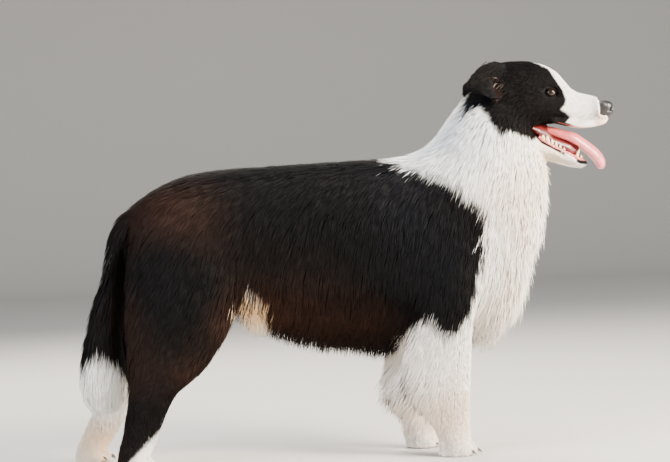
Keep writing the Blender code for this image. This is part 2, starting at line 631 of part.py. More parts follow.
def loose_pieces(obj, home):
    """The unconnected pieces of a mesh, as objects of their own."""
    shape = bmesh.new()
    shape.from_mesh(obj.data)
    shape.faces.ensure_lookup_table()
    unseen = set(shape.faces)
    made = []
    while unseen:
        start = next(iter(sorted(unseen, key=lambda face: face.index)))
        piece, queue = {start}, [start]
        while queue:
            for edge in queue.pop().edges:
                for face in edge.link_faces:
                    if face not in piece:
                        piece.add(face)
                        queue.append(face)
        unseen -= piece
        made.append(piece)
    pieces = []
    for number, faces in enumerate(made):
        index = {}
        rows = []
        for face in sorted(faces, key=lambda face: face.index):
            rows.append([index.setdefault(vert, len(index)) for vert in face.verts])
        mesh = bpy.data.meshes.new(f"piece_{number}")
        mesh.from_pydata([tuple(vert.co) for vert in index], [], rows)
        pieces.append(new_object(f"piece_{number}", mesh, home))
    shape.free()
    bpy.data.objects.remove(obj)
    return pieces


def volume_and_middle(obj):
    """The signed volume of a closed mesh and its centre of volume."""
    mesh = obj.data
    mesh.calc_loop_triangles()
    points = np.array([v.co for v in mesh.vertices])
    corners = points[np.array([t.vertices for t in mesh.loop_triangles])]
    share = np.einsum("ij,ij->i", corners[:, 0], np.cross(corners[:, 1], corners[:, 2])) / 6
    return share.sum(), (corners.sum(axis=1) / 4 * share[:, None]).sum(axis=0) / share.sum()


def named(pieces, home):
    """Each piece takes the name of the flesh whose middle is nearest to its own; crumbs of the
    cuts are thrown away."""
    kept = {}
    for piece in pieces:
        volume, middle = volume_and_middle(piece)
        if volume < CRUMB:
            bpy.data.objects.remove(piece)
            continue
        name = min(FLESH, key=lambda key: (Vector(FLESH[key][0]) - Vector(middle)).length)
        if name in kept:
            raise RuntimeError(f"two pieces are nearest to {name}, the second at {middle}")
        piece.name = name
        piece.data.name = name
        kept[name] = piece
    missing = sorted(set(FLESH) - set(kept))
    if missing:
        raise RuntimeError(f"no piece for {missing}")
    return kept


def cut_away(obj, make, **how):
    """Takes a slightly larger shape out of an object."""
    cutter = make(**how)
    boolean(obj, cutter, "DIFFERENCE")
    bpy.data.objects.remove(cutter)


def eye_opening(side, home):
    """The hollow between the lids, a flattened ball on the surface over the eye."""
    x, _, z = EYE_AT
    opening = ball("eye_opening", (0, 0, 0), EYE_OPENING, home)
    turn = Euler((0.0, EYE_SLANT, 0.0)).to_matrix().to_4x4()
    opening.data.transform(Matrix.Translation((x, side * EYE_OPENING_Y, z)) @ turn)
    return opening


def head_details(parts, home, spare):
    """Eyes, ears, nose and tongue, each in a pocket with a thin gap, and the teeth on the jaw."""
    x, y, z = EYE_AT
    for side, word in ((-1, "right"), (1, "left")):
        opening = eye_opening(side, spare)
        boolean(parts["head"], opening, "DIFFERENCE")
        bpy.data.objects.remove(opening)
        at = (x, side * y, z)
        for name, grow, where in (("pocket", POCKET_GAP, spare), (f"eye_{word}", 0.0, home)):
            radius = EYE_RADIUS + grow
            made = ball(name, at, (radius,) * 3, where, rings=8, segments=12)
            if grow:
                boolean(parts["head"], made, "DIFFERENCE")
                bpy.data.objects.remove(made)
            else:
                parts[name] = made
    for side, word in ((1, "right"), (-1, "left")):
        pocket = ear_body("pocket", side, spare, grow=POCKET_GAP)
        boolean(parts["head"], pocket, "DIFFERENCE")
        bpy.data.objects.remove(pocket)
        parts[f"ear_{word}"] = ear_body(f"ear_{word}", side, home)
    for x0, y0, z0, x1, y1, z1, radius in TEETH:
        for side in (-1, 1):
            tooth = cone("tooth", (x0, side * y0, z0), (x1, side * y1, z1), radius, spare)
            boolean(parts["jaw"], tooth, "UNION")
            bpy.data.objects.remove(tooth)
    for name, rows, count, droop in (("nose", NOSE, 9, 0.0), ("tongue", TONGUE, 14, TONGUE_DROOP)):
        shape = dict(count=count, sides=14, first=2.3, second=2.3, droop=droop)
        for owner in ("head", "jaw"):
            pocket = loft("pocket", rows, spare, grow=POCKET_GAP, **shape)
            boolean(parts[owner], pocket, "DIFFERENCE")
            bpy.data.objects.remove(pocket)
        parts[name] = loft(name, rows, home, **shape)


def finish(parts):
    """Puts the middle of the whole at the origin, faces out and materials on."""
    corners = np.array([v.co for obj in parts.values() for v in obj.data.vertices])
    low, high = corners.min(axis=0), corners.max(axis=0)
    move = Matrix.Translation((-(low[0] + high[0]) / 2, -(low[1] + high[1]) / 2, -low[2]))
    print("moved by", [round(c, 5) for c in move.translation])
    looks = {name: (colour, 0.8) for name, (_, colour) in FLESH.items()}
    looks["nose"] = (NOSE_BLACK, 0.4)
    looks["tongue"] = (TONGUE_PINK, 0.35)
    for word in ("right", "left"):
        looks[f"eye_{word}"] = (EYE_BROWN, 0.1)
        looks[f"ear_{word}"] = (BLACK_COAT, 0.8)
    for name, obj in parts.items():
        obj.data.transform(move)
        shape = bmesh.new()
        shape.from_mesh(obj.data)
        bmesh.ops.remove_doubles(shape, verts=shape.verts, dist=0.00002)
        bmesh.ops.dissolve_degenerate(shape, edges=shape.edges, dist=0.00002)
        bmesh.ops.dissolve_limit(
            shape, angle_limit=FLAT_ANGLE, verts=shape.verts, edges=shape.edges, use_dissolve_boundaries=False
        )
        bmesh.ops.triangulate(shape, faces=shape.faces)
        bmesh.ops.recalc_face_normals(shape, faces=shape.faces)
        shape.to_mesh(obj.data)
        shape.free()
        obj.data.materials.clear()
        obj.data.materials.append(material(name, *looks[name]))


def main():
    clear_scene()
    home = collection("dog")
    spare = collection("cutters")
    body = fused_body(home)
    for cutter in cutters(spare):
        boolean(body, cutter, "DIFFERENCE")
        bpy.data.objects.remove(cutter)
    parts = named(loose_pieces(body, home), home)
    for name, rows in legs().items():
        kind, side = name.split("_")
        paw = parts[f"{kind}paw_{side}"]
        for claw in claws(rows, name, spare):
            boolean(paw, claw, "UNION")
            bpy.data.objects.remove(claw)
    head_details(parts, home, spare)
    finish(parts)


main()
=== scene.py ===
"""A life-size border collie standing in profile, with its mouth open.

The solids give the body's outline out to the tips of the coat. One skin is drawn in under them by
the coat's depth, and thin locks of hair run over it along the lie of the coat, out to the solids.
"""

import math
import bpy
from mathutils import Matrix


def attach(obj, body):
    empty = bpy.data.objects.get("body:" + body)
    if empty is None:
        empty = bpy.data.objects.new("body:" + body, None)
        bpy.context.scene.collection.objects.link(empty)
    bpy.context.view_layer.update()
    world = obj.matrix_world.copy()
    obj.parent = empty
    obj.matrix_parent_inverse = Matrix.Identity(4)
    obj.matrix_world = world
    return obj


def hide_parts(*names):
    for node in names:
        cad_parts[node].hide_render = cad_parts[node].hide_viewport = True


bl_info = {
    "name": "Border Collie",
    "version": (1, 0, 0),
    "blender": (4, 5, 0),
    "location": "View3D > Sidebar > Collie",
    "description": "A still, life-size border collie with its coat modelled lock by lock",
    "category": "Object",
}

from collections import namedtuple
from functools import wraps

import bmesh
import bpy
import numpy as np
from mathutils import Matrix, Vector
from mathutils.bvhtree import BVHTree
from mathutils.kdtree import KDTree

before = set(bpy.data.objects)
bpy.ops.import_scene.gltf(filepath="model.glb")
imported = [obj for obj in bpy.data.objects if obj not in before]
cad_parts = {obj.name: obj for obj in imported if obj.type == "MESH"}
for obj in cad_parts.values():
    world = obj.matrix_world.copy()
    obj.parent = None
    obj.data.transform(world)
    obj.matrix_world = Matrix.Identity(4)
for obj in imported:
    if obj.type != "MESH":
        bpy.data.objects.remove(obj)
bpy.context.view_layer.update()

APART = ("eye_left", "eye_right", "nose", "tongue")     # nodes that have a piece of their own
FLESH = tuple(sorted(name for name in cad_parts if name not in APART))
SIDES = (-1.0, 1.0)     # the dog's right, which is the near side, and its left
MM = 0.001
MOUTH_SHIFT = 0.0093    # from the x of the tables of tongue, teeth and gum to the frame's own x

# Skin
GROW = 0.0004           # closes the thin cuts between the solids
SKIN_VOXEL = 0.0018
SKIN_KEPT = 0.164       # share of the skin's faces that is kept, most of them on the head
THIN_SHARE = 0.30       # the coat takes no more than this share of a thin part's thickness
SOLE, LOWEST_HAIR = 0.0005, 0.0006      # height of the lowest skin and hair over the ground
PROBE = 0.3             # how far inward a part's thickness is looked for
PROBE_START = 0.002     # where that look starts, so that it doesn't meet the surface it leaves

# Where the coat lies, part by part. Each row is a place (x, distance from the middle, z) in
# metres, the way the hair points there (x, outwards, z), then the hair's length, the coat's depth
# and the width of a lock in millimetres.
COAT = {
    "head": (
        (0.492, 0.000, 0.648, -1.0, 0.00, 0.00, 3, 0.8, 0.8),
        (0.470, 0.000, 0.656, -1.0, 0.10, 0.20, 5, 1.2, 0.9),
        (0.440, 0.008, 0.662, -1.0, 0.15, 0.45, 6, 1.4, 1.0),
        (0.480, 0.020, 0.625, -1.0, 0.10, -0.05, 4, 1.1, 0.8),
        (0.455, 0.024, 0.630, -1.0, 0.10, 0.00, 6, 1.3, 0.9),
        (0.485, 0.012, 0.600, -0.8, 0.10, -0.50, 3, 1.0, 0.8),
        (0.440, 0.024, 0.603, -0.9, 0.10, -0.35, 5, 1.2, 0.9),
        (0.405, 0.030, 0.610, -1.0, 0.10, -0.25, 7, 1.6, 1.0),
        (0.422, 0.012, 0.685, -0.7, 0.20, 0.75, 7, 1.8, 1.0),
        (0.400, 0.008, 0.705, -0.9, 0.20, 0.40, 9, 2.4, 1.1),
        (0.372, 0.012, 0.722, -1.0, 0.15, 0.05, 12, 3.2, 1.2),
        (0.335, 0.015, 0.729, -1.0, 0.10, -0.05, 16, 4.5, 1.3),
        (0.403, 0.035, 0.676, -0.7, 0.30, 0.45, 6, 1.6, 0.9),
        (0.405, 0.036, 0.640, -1.0, 0.20, -0.10, 6, 1.6, 1.0),
        (0.380, 0.046, 0.635, -1.0, 0.20, -0.30, 8, 2.0, 1.1),
        (0.372, 0.048, 0.600, -0.9, 0.20, -0.45, 11, 2.6, 1.2),
        (0.355, 0.055, 0.660, -1.0, 0.15, -0.05, 10, 2.8, 1.2),
        (0.330, 0.058, 0.625, -0.7, 0.20, -0.60, 19, 4.5, 1.4),
        (0.300, 0.060, 0.600, -0.4, 0.15, -0.90, 32, 8.0, 1.8),
        (0.345, 0.048, 0.580, -0.5, 0.15, -0.80, 24, 6.0, 1.6),
        (0.320, 0.055, 0.690, -1.0, 0.20, 0.00, 12, 3.6, 1.3),
        (0.260, 0.020, 0.690, -0.8, 0.00, -0.55, 32, 9.0, 1.8),
        (0.462, 0.006, 0.525, -1.0, 0.00, -0.20, 4, 1.0, 0.8),
        (0.440, 0.018, 0.530, -1.0, 0.05, -0.20, 5, 1.1, 0.9),
        (0.410, 0.024, 0.542, -1.0, 0.05, -0.20, 8, 1.5, 1.0),
        (0.420, 0.002, 0.526, -1.0, 0.00, -0.10, 7, 1.5, 1.0),
        (0.385, 0.028, 0.550, -0.9, 0.05, -0.35, 14, 2.5, 1.2),
        (0.385, 0.004, 0.538, -0.9, 0.00, -0.35, 16, 3.5, 1.3),
        (0.362, 0.036, 0.545, -0.4, 0.05, -0.90, 26, 6.0, 1.7),
        (0.312, 0.058, 0.700, -0.8, 0.30, 0.10, 12, 2.0, 1.1),
        (0.285, 0.062, 0.722, -0.9, 0.20, -0.10, 14, 2.0, 1.1),
        (0.262, 0.080, 0.692, -0.9, 0.05, -0.40, 16, 1.8, 1.1),
        (0.235, 0.080, 0.680, -0.9, 0.00, -0.40, 15, 1.6, 1.1),
        (0.262, 0.076, 0.655, -1.0, 0.00, 0.00, 18, 1.8, 1.2),
        (0.285, 0.078, 0.645, -0.9, 0.05, -0.30, 18, 1.8, 1.2),
        (0.312, 0.076, 0.670, -0.5, 0.20, -0.80, 12, 1.6, 1.1),
    ),
    "neck": (
        (0.225, 0.020, 0.640, -0.65, 0.05, -0.80, 50, 11.2, 1.6),
        (0.165, 0.030, 0.580, -0.85, 0.10, -0.45, 59, 11.9, 1.7),
        (0.290, 0.075, 0.570, -0.30, 0.10, -1.00, 48, 10.5, 1.6),
        (0.250, 0.085, 0.610, -0.45, 0.10, -1.00, 46, 9.8, 1.5),
        (0.240, 0.100, 0.530, -0.40, 0.10, -1.00, 59, 12.6, 1.7),
        (0.180, 0.100, 0.520, -0.55, 0.10, -0.90, 63, 12.6, 1.7),
        (0.230, 0.105, 0.460, -0.35, 0.05, -1.00, 63, 13.3, 1.7),
        (0.375, 0.015, 0.500, 0.00, 0.05, -1.00, 50, 11.2, 1.6),
        (0.345, 0.055, 0.520, -0.10, 0.10, -1.00, 48, 11.2, 1.6),
    ),
    "chest": (
        (0.370, 0.020, 0.430, -0.05, 0.00, -1.00, 65, 17.6, 1.8),
        (0.330, 0.060, 0.430, -0.12, 0.00, -1.00, 65, 16.0, 1.8),
        (0.335, 0.020, 0.330, -0.12, 0.00, -1.00, 71, 19.2, 1.8),
        (0.295, 0.060, 0.330, -0.20, 0.00, -1.00, 65, 16.0, 1.8),
        (0.300, 0.020, 0.250, -0.18, 0.00, -1.00, 65, 17.6, 1.8),
        (0.240, 0.020, 0.200, -0.40, 0.00, -0.90, 52, 12.8, 1.6),
    ),
    "shoulder": (
        (0.080, 0.010, 0.550, -1.00, 0.25, -0.10, 54, 9.4, 1.7),
        (0.120, 0.080, 0.500, -0.60, 0.10, -0.85, 66, 11.5, 1.8),
        (0.000, 0.080, 0.500, -0.62, 0.10, -0.80, 64, 10.8, 1.8),
        (0.180, 0.110, 0.400, -0.30, 0.00, -1.00, 68, 12.2, 1.8),
        (0.080, 0.110, 0.400, -0.22, 0.00, -1.00, 73, 12.2, 1.8),
        (-0.040, 0.110, 0.400, -0.24, 0.00, -1.00, 73, 12.2, 1.8),
        (0.190, 0.105, 0.300, -0.20, 0.00, -1.00, 61, 10.1, 1.7),
        (0.060, 0.100, 0.290, -0.06, 0.00, -1.00, 83, 13.7, 1.8),
        (0.040, 0.030, 0.200, -0.35, 0.00, -0.95, 70, 25.0, 1.9),
    ),
    "flank": (
        (-0.050, 0.010, 0.550, -1.00, 0.30, -0.10, 52, 8.6, 1.7),
        (-0.200, 0.010, 0.545, -1.00, 0.30, -0.10, 52, 8.6, 1.7),
        (-0.340, 0.010, 0.520, -0.95, 0.25, -0.40, 54, 9.4, 1.7),
        (-0.120, 0.080, 0.500, -0.66, 0.10, -0.75, 64, 10.8, 1.8),
        (-0.250, 0.080, 0.500, -0.78, 0.10, -0.66, 61, 10.1, 1.8),
        (-0.150, 0.105, 0.400, -0.36, 0.00, -0.95, 71, 11.5, 1.8),
        (-0.060, 0.100, 0.290, -0.08, 0.00, -1.00, 85, 13.7, 1.8),
        (-0.160, 0.090, 0.300, -0.18, 0.00, -1.00, 78, 13.0, 1.8),
        (-0.080, 0.030, 0.215, -0.30, 0.00, -0.95, 70, 25.0, 1.9),
        (-0.180, 0.020, 0.250, -0.25, 0.00, -1.00, 66, 22.5, 1.8),
    ),
    "thigh": (
        (-0.310, 0.085, 0.460, -0.60, 0.05, -0.80, 64, 10.1, 1.7),
        (-0.390, 0.070, 0.450, -0.50, 0.05, -0.90, 64, 10.1, 1.7),
        (-0.240, 0.100, 0.340, -0.42, 0.00, -0.92, 68, 10.8, 1.7),
        (-0.330, 0.110, 0.340, -0.45, 0.00, -0.95, 68, 10.8, 1.7),
        (-0.405, 0.080, 0.330, -0.25, 0.00, -1.00, 78, 13.0, 1.8),
        (-0.270, 0.100, 0.230, -0.55, 0.00, -0.85, 52, 7.2, 1.6),
        (-0.330, 0.040, 0.260, -0.35, 0.00, -1.00, 59, 8.6, 1.7),
        (-0.400, 0.080, 0.210, -0.30, 0.00, -1.00, 66, 10.1, 1.7),
    ),
    "shank": (
        (-0.330, 0.090, 0.160, -0.62, 0.00, -0.78, 24, 5.0, 1.7),
        (-0.430, 0.085, 0.130, -0.35, 0.00, -0.95, 30, 6.0, 1.8),
        (-0.370, 0.085, 0.100, -0.40, 0.00, -0.92, 14, 3.2, 1.4),
        (-0.410, 0.085, 0.060, -0.05, 0.00, -1.00, 12, 2.8, 1.3),
        (-0.490, 0.085, 0.060, -0.05, 0.00, -1.00, 12, 2.8, 1.3),
        (-0.380, 0.085, 0.018, 0.80, 0.05, -0.50, 7, 1.6, 1.0),
        (-0.470, 0.085, 0.018, 0.80, 0.05, -0.50, 7, 1.6, 1.0),
    ),
    "tail": (
        (-0.420, 0.000, 0.430, -0.40, 0.00, -0.92, 58, 8.5, 1.8),
        (-0.455, 0.000, 0.330, -0.22, 0.00, -1.00, 74, 10.5, 2.0),
        (-0.465, 0.000, 0.230, -0.08, 0.00, -1.00, 74, 11.0, 2.0),
        (-0.465, 0.000, 0.130, 0.05, 0.00, -1.00, 60, 11.0, 1.8),
    ),
    "foreleg": (
        (0.165, 0.090, 0.245, -0.30, 0.00, -0.95, 46, 8.0, 1.6),
        (0.110, 0.080, 0.240, -0.50, 0.00, -0.87, 62, 16.0, 1.7),
        (0.225, 0.070, 0.180, -0.03, 0.00, -1.00, 16, 3.0, 1.2),
        (0.222, 0.070, 0.100, 0.00, 0.00, -1.00, 11, 2.4, 1.1),
        (0.190, 0.095, 0.140, -0.10, 0.00, -1.00, 22, 3.6, 1.3),
        (0.150, 0.095, 0.170, -0.34, 0.00, -0.95, 48, 7.0, 1.6),
        (0.095, 0.080, 0.180, -0.62, 0.00, -0.78, 66, 24.0, 1.6),
        (0.100, 0.075, 0.130, -0.64, 0.00, -0.77, 62, 24.0, 1.6),
        (0.125, 0.075, 0.085, -0.60, 0.00, -0.80, 46, 16.0, 1.5),
        (0.160, 0.075, 0.050, -0.40, 0.00, -0.90, 20, 5.0, 1.3),
        (0.190, 0.095, 0.070, -0.05, 0.00, -1.00, 12, 3.0, 1.1),
        (0.213, 0.075, 0.050, 0.05, 0.00, -1.00, 9, 2.0, 1.0),
        (0.210, 0.075, 0.018, 0.80, 0.05, -0.50, 7, 1.6, 1.0),
        (0.160, 0.075, 0.018, 0.80, 0.05, -0.50, 8, 1.8, 1.0),
    ),
}
WHITE_REGIONS = ("neck", "chest", "foreleg")        # regions of mostly white coat
GUIDES = np.array([row for rows in COAT.values() for row in rows])
REGION = np.array([i for i, rows in enumerate(COAT.values()) for _ in rows])
GUIDE_SOFT = 0.012      # within this distance of a row, or of the middle, the lie changes softly

# The edges of the black coat seen from the side, as x and z in metres, the same on both sides.
BLACK_HEAD = (
    (0.226, 0.616), (0.255, 0.640), (0.264, 0.627), (0.278, 0.604), (0.292, 0.583),
    (0.309, 0.586), (0.325, 0.579), (0.355, 0.570), (0.363, 0.576), (0.368, 0.584),
    (0.385, 0.590), (0.406, 0.594), (0.420, 0.600), (0.431, 0.610), (0.422, 0.619),
    (0.412, 0.625), (0.419, 0.632), (0.423, 0.642), (0.418, 0.659), (0.410, 0.671),
    (0.392, 0.703), (0.361, 0.719), (0.340, 0.745), (0.250, 0.745), (0.238, 0.700),
    (0.238, 0.655),
)
BLACK_BODY = (
    (0.075, 0.560), (0.088, 0.545), (0.114, 0.534), (0.149, 0.520), (0.194, 0.504),
    (0.220, 0.476), (0.243, 0.457), (0.257, 0.443), (0.263, 0.424), (0.253, 0.391),
    (0.239, 0.352), (0.232, 0.319), (0.226, 0.283), (0.211, 0.248), (0.192, 0.226),
    (0.174, 0.220), (0.160, 0.232), (0.151, 0.246), (0.130, 0.248), (0.111, 0.236),
    (0.094, 0.206), (0.060, 0.180), (0.040, -0.050), (-0.560, -0.050), (-0.560, 0.620),
    (0.050, 0.600),
)
# Beyond this distance from the middle, and between these limits, is ear. The ears are black.
EARS_ASIDE, EARS_REAR, EARS_FRONT, EARS_LOW = 0.058, 0.190, 0.330, 0.640
# The white of the tail's tip has a rounded top: from its middle, its height falls by the drop times
# the square of the distance.
TAIL_WHITE_TOP, TAIL_WHITE_MIDDLE, TAIL_WHITE_DROP = 0.203, -0.455, 20.0
# The pale mark of the groin, which narrows upwards between flank and thigh, and the share of its
# depth that counts as white, which keeps its border soft.
GROIN = ((-0.193, 0.303), (-0.180, 0.309), (-0.158, 0.298), (-0.146, 0.284), (-0.140, 0.250),
         (-0.138, 0.140), (-0.184, 0.140), (-0.184, 0.250), (-0.190, 0.285))
GROIN_SHARE = 0.60
TAIL_AHEAD = -0.402     # in front of this the low white belongs to the hind feet
TAIL_HALF = 0.045       # further from the middle than this nothing belongs to the tail
# The top of the white on each hind foot, as x and z of its front and rear.
NEAR_HIND_WHITE = ((-0.354, 0.066), (-0.406, 0.018))
FAR_HIND_WHITE = ((-0.420, 0.130), (-0.520, 0.100))
# Painted light in the coat's colour: where the black takes a painted brown or blue sheen, and the
# white a painted warm sunlit cream or a painted blue shade: x, distance from the middle, z, reach
# in metres and strength, warm above nought and cold below it.
PAINTED_LIGHT_TINTS = (
    (-0.060, 0.105, 0.275, 0.085, 0.85), (0.060, 0.105, 0.275, 0.070, 0.70),
    (-0.150, 0.100, 0.300, 0.070, 0.60), (-0.330, 0.060, 0.500, 0.070, 0.50),
    (-0.240, 0.080, 0.480, 0.060, 0.35), (-0.405, 0.095, 0.320, 0.060, 0.50),
    (-0.380, 0.100, 0.210, 0.060, 0.40), (-0.265, 0.100, 0.190, 0.050, 0.45),
    (0.170, 0.110, 0.400, 0.090, -0.80), (0.120, 0.080, 0.490, 0.060, -0.60),
    (-0.300, 0.110, 0.380, 0.060, -0.30), (0.190, 0.040, 0.600, 0.070, -0.85),
    (0.250, 0.060, 0.600, 0.050, -0.50), (0.320, 0.070, 0.480, 0.080, 0.35),
    (0.300, 0.070, 0.320, 0.090, 0.30), (0.170, 0.080, 0.080, 0.080, 0.55),
    (-0.162, 0.090, 0.295, 0.046, 1.50), (-0.470, 0.060, 0.040, 0.060, 0.80),
    (0.390, 0.020, 0.540, 0.040, 0.40), (0.495, 0.010, 0.600, 0.014, 0.80),
)
# The next three tables are soft round patches: x, distance from the middle, z, reach and value, all
# in metres. WISPS says how long the thin loose locks are that hang free of the coat, FRINGES how
# much further the coat's own locks hang where they meet its edge, and LOOSE how far their tips
# stand out of it.
WISPS = (
    (-0.172, 0.060, 0.258, 0.030, 0.095), (-0.120, 0.050, 0.225, 0.045, 0.030),
    (-0.040, 0.050, 0.205, 0.060, 0.034), (0.060, 0.050, 0.200, 0.060, 0.040),
    (0.290, 0.020, 0.225, 0.050, 0.042), (0.090, 0.080, 0.130, 0.050, 0.040),
    (0.340, 0.010, 0.300, 0.050, 0.030), (0.375, 0.010, 0.400, 0.060, 0.026),
)
FRINGES = (
    (0.290, 0.020, 0.225, 0.050, 0.050), (0.245, 0.050, 0.230, 0.045, 0.040),
    (0.085, 0.080, 0.135, 0.060, 0.050), (-0.168, 0.075, 0.252, 0.040, 0.120),
    (0.070, 0.080, 0.195, 0.070, 0.045), (-0.030, 0.080, 0.205, 0.070, 0.048),
    (-0.110, 0.080, 0.215, 0.045, 0.040),
)
LOOSE = (
    (-0.400, 0.050, 0.380, 0.040, 0.006), (-0.402, 0.060, 0.320, 0.040, 0.005),
    (-0.430, 0.000, 0.350, 0.060, 0.002), (0.345, 0.020, 0.330, 0.080, 0.014),
    (0.378, 0.010, 0.440, 0.070, 0.012), (0.300, 0.030, 0.260, 0.060, 0.012),
    (0.085, 0.080, 0.150, 0.055, 0.019), (0.105, 0.080, 0.090, 0.035, 0.013),
    (0.240, 0.080, 0.650, 0.025, 0.005), (-0.400, 0.080, 0.220, 0.050, 0.005),
    (-0.475, 0.000, 0.250, 0.090, 0.002), (0.380, 0.010, 0.520, 0.030, 0.004),
    (0.270, 0.075, 0.700, 0.030, 0.003), (0.180, 0.020, 0.590, 0.060, 0.004),
)


# --- numbers -----------------------------------------------------------------------------------

def rng(seed):
    """A source of random numbers that gives the same row of them for the same seed."""
    return np.random.default_rng(seed)


def unit(v):
    """Each vector divided by its length."""
    return v / np.maximum(np.linalg.norm(v, axis=-1, keepdims=True), 1e-9)


def smoothstep(low, high, x):
    """Nought at low, one at high, and three squares less two cubes of the way between them."""
    t = np.clip((x - low) / (high - low), 0.0, 1.0)
    return t * t * (3.0 - 2.0 * t)


def dot(a, b):
    """Sum of the products of two vectors' parts."""
    return (a * b).sum(axis=-1, keepdims=True)


def circle(around):
    """Cosine and sine of evenly spaced turns round a circle."""
    turn = np.arange(around) / around * math.tau
    return np.cos(turn), np.sin(turn)


def folded(p):
    """Each place with its distance from the middle in y's stead, so both sides read one table."""
    return np.column_stack((p[:, 0], np.abs(p[:, 1]), p[:, 2]))


def in_lots(work, lot=20000):
    """The same work on a long array of places, done a lot at a time to spare memory."""
    @wraps(work)
    def lots(p, *rest):
        return np.concatenate([work(p[i:i + lot], *rest) for i in range(0, len(p), lot)])
    return lots


@in_lots
def soft_sum(p, table):
    """Sum of soft round patches: each row is x, distance from the middle, z, reach and value.

    A patch adds its value times e to the power of minus the square of distance over reach.
    """
    rows = np.array(table)
    far = ((folded(p)[:, None] - rows[None, :, :3]) ** 2).sum(-1)
    return (rows[:, 4] * np.exp(-far / rows[:, 3] ** 2)).sum(1)


def inside_by(p, outline):
    """How far each x, z lies inside a closed outline, below nought outside it.

    The distance is to the nearest of the outline's straight edges, and the sign comes from how
    often a line from the point across to one side meets the outline.
    """
    a = np.array(outline)
    b = np.roll(a, -1, axis=0)
    q = p[:, None, (0, 2)] - a[None]
    edge = b - a
    along = np.clip((q * edge).sum(-1) / (edge * edge).sum(-1), 0.0, 1.0)
    far = np.linalg.norm(q - along[..., None] * edge, axis=-1).min(axis=1)
    x, z = p[:, 0:1], p[:, 2:3]
    crosses = (a[:, 1] > z) != (b[:, 1] > z)
    rise = np.where(edge[:, 1] == 0.0, 1e-12, edge[:, 1])
    meets = crosses & (x < a[:, 0] + (z - a[:, 1]) / rise * edge[:, 0])
    return np.where(meets.sum(axis=1) % 2 == 1, far, -far)


def line_at(x, ends):
    """Height of the straight line through two x, z points."""
    (x0, z0), (x1, z1) = ends
    return z0 + (x - x0) * (z1 - z0) / (x1 - x0)


def ripple(p, wave, seed):
    """A soft random field: a third of the sum of six sine waves that cross one another."""
    turn = rng(seed)
    total = np.zeros(len(p))
    for _ in range(6):
        way = unit(turn.normal(size=3)) * math.tau / (wave * turn.uniform(0.7, 1.5))
        total += np.sin(p @ way + turn.uniform(0.0, math.tau))
    return total / 3.0


@in_lots
def whiteness(p):
    """How far each place lies in the white of the markings, in metres, below nought in the black.

    White is what lies outside both black outlines and the ears, or inside the tail's tip, the hind
    feet or the groin's mark.
    """
    x, y, z = p.T
    black = np.maximum(inside_by(p, BLACK_HEAD), inside_by(p, BLACK_BODY))
    ear = np.minimum.reduce((np.abs(y) - EARS_ASIDE, EARS_FRONT - x, z - EARS_LOW, x - EARS_REAR))
    white = -np.maximum(black, ear)
    tail_top = TAIL_WHITE_TOP - TAIL_WHITE_DROP * (x - TAIL_WHITE_MIDDLE) ** 2
    tail = np.where(np.abs(y) < TAIL_HALF, np.minimum(tail_top - z, TAIL_AHEAD - x), -1.0)
    near = np.where(y < -0.03, line_at(x, NEAR_HIND_WHITE) - z, -1.0)
    far = np.where(y > TAIL_HALF, line_at(x, FAR_HIND_WHITE) - z, -1.0)
    feet = np.where(x < -0.2, np.maximum(near, far), -1.0)
    groin = np.where(z < 0.33, GROIN_SHARE * inside_by(p, GROIN), -1.0)
    return np.maximum.reduce((white, tail, feet, groin))


def warmth(p):
    """Painted warm light and cold shade in the coat's colour, from minus one to one."""
    return np.clip(soft_sum(p, PAINTED_LIGHT_TINTS), -1.0, 1.0)


def guide_gap(p):
    """Square of the distance from each place to each row of COAT, on whichever side it lies."""
    q = folded(p)
    return (q * q).sum(1)[:, None] + (GUIDES[:, :3] ** 2).sum(1) - 2.0 * q @ GUIDES[:, :3].T


@in_lots
def guide_mean(p):
    """Mean of the rows of COAT at each place, by one over the fourth power of the distance."""
    share = 1.0 / (np.maximum(guide_gap(p), 0.0) + GUIDE_SOFT ** 2) ** 2
    share /= share.sum(1, keepdims=True)
    return share @ GUIDES[:, 3:]


def coat_at(p):
    """Lie of the hair, its length, the coat's depth and a lock's width at each place."""
    plan = bpy.context.scene.collie
    mean = guide_mean(p)
    side = np.clip(p[:, 1] / GUIDE_SOFT, -1.0, 1.0)
    way = unit(np.column_stack((mean[:, 0], mean[:, 1] * side, mean[:, 2])))
    length, depth, width = mean[:, 3:].T * MM
    return way, length * plan.hair_length, depth, width * plan.lock_width


# --- meshes ------------------------------------------------------------------------------------

def corners(mesh):
    """Place of each vertex."""
    flat = np.empty(len(mesh.vertices) * 3, np.float32)
    mesh.vertices.foreach_get("co", flat)
    return flat.reshape(-1, 3).astype(float)


def out(mesh):
    """Normal of each vertex."""
    flat = np.empty(len(mesh.vertices) * 3, np.float32)
    mesh.vertex_normals.foreach_get("vector", flat)
    return flat.reshape(-1, 3).astype(float)


def triangles(mesh):
    """The three vertices of each triangle."""
    mesh.calc_loop_triangles()
    flat = np.empty(len(mesh.loop_triangles) * 3, np.int32)
    mesh.loop_triangles.foreach_get("vertices", flat)
    return flat.reshape(-1, 3)


def edges(mesh):
    """The two vertices of each edge."""
    flat = np.empty(len(mesh.edges) * 2, np.int32)
    mesh.edges.foreach_get("vertices", flat)
    return flat.reshape(-1, 2)


def smoothed(values, links, passes, share=0.5):
    """Each value moved towards the mean of its neighbours, a number of times over."""
    count = np.bincount(links.ravel(), minlength=len(values)).astype(float)
    count = np.maximum(count, 1.0)
    shape = values.reshape(len(values), -1)
    for _ in range(passes):
        total = np.zeros_like(shape)
        for i in range(shape.shape[1]):
            column = shape[:, i]
            total[:, i] = np.bincount(links[:, 0], column[links[:, 1]], len(values))
            total[:, i] += np.bincount(links[:, 1], column[links[:, 0]], len(values))
        shape = shape + (total / count[:, None] - shape) * np.reshape(share, (-1, 1))
    return shape.reshape(values.shape)


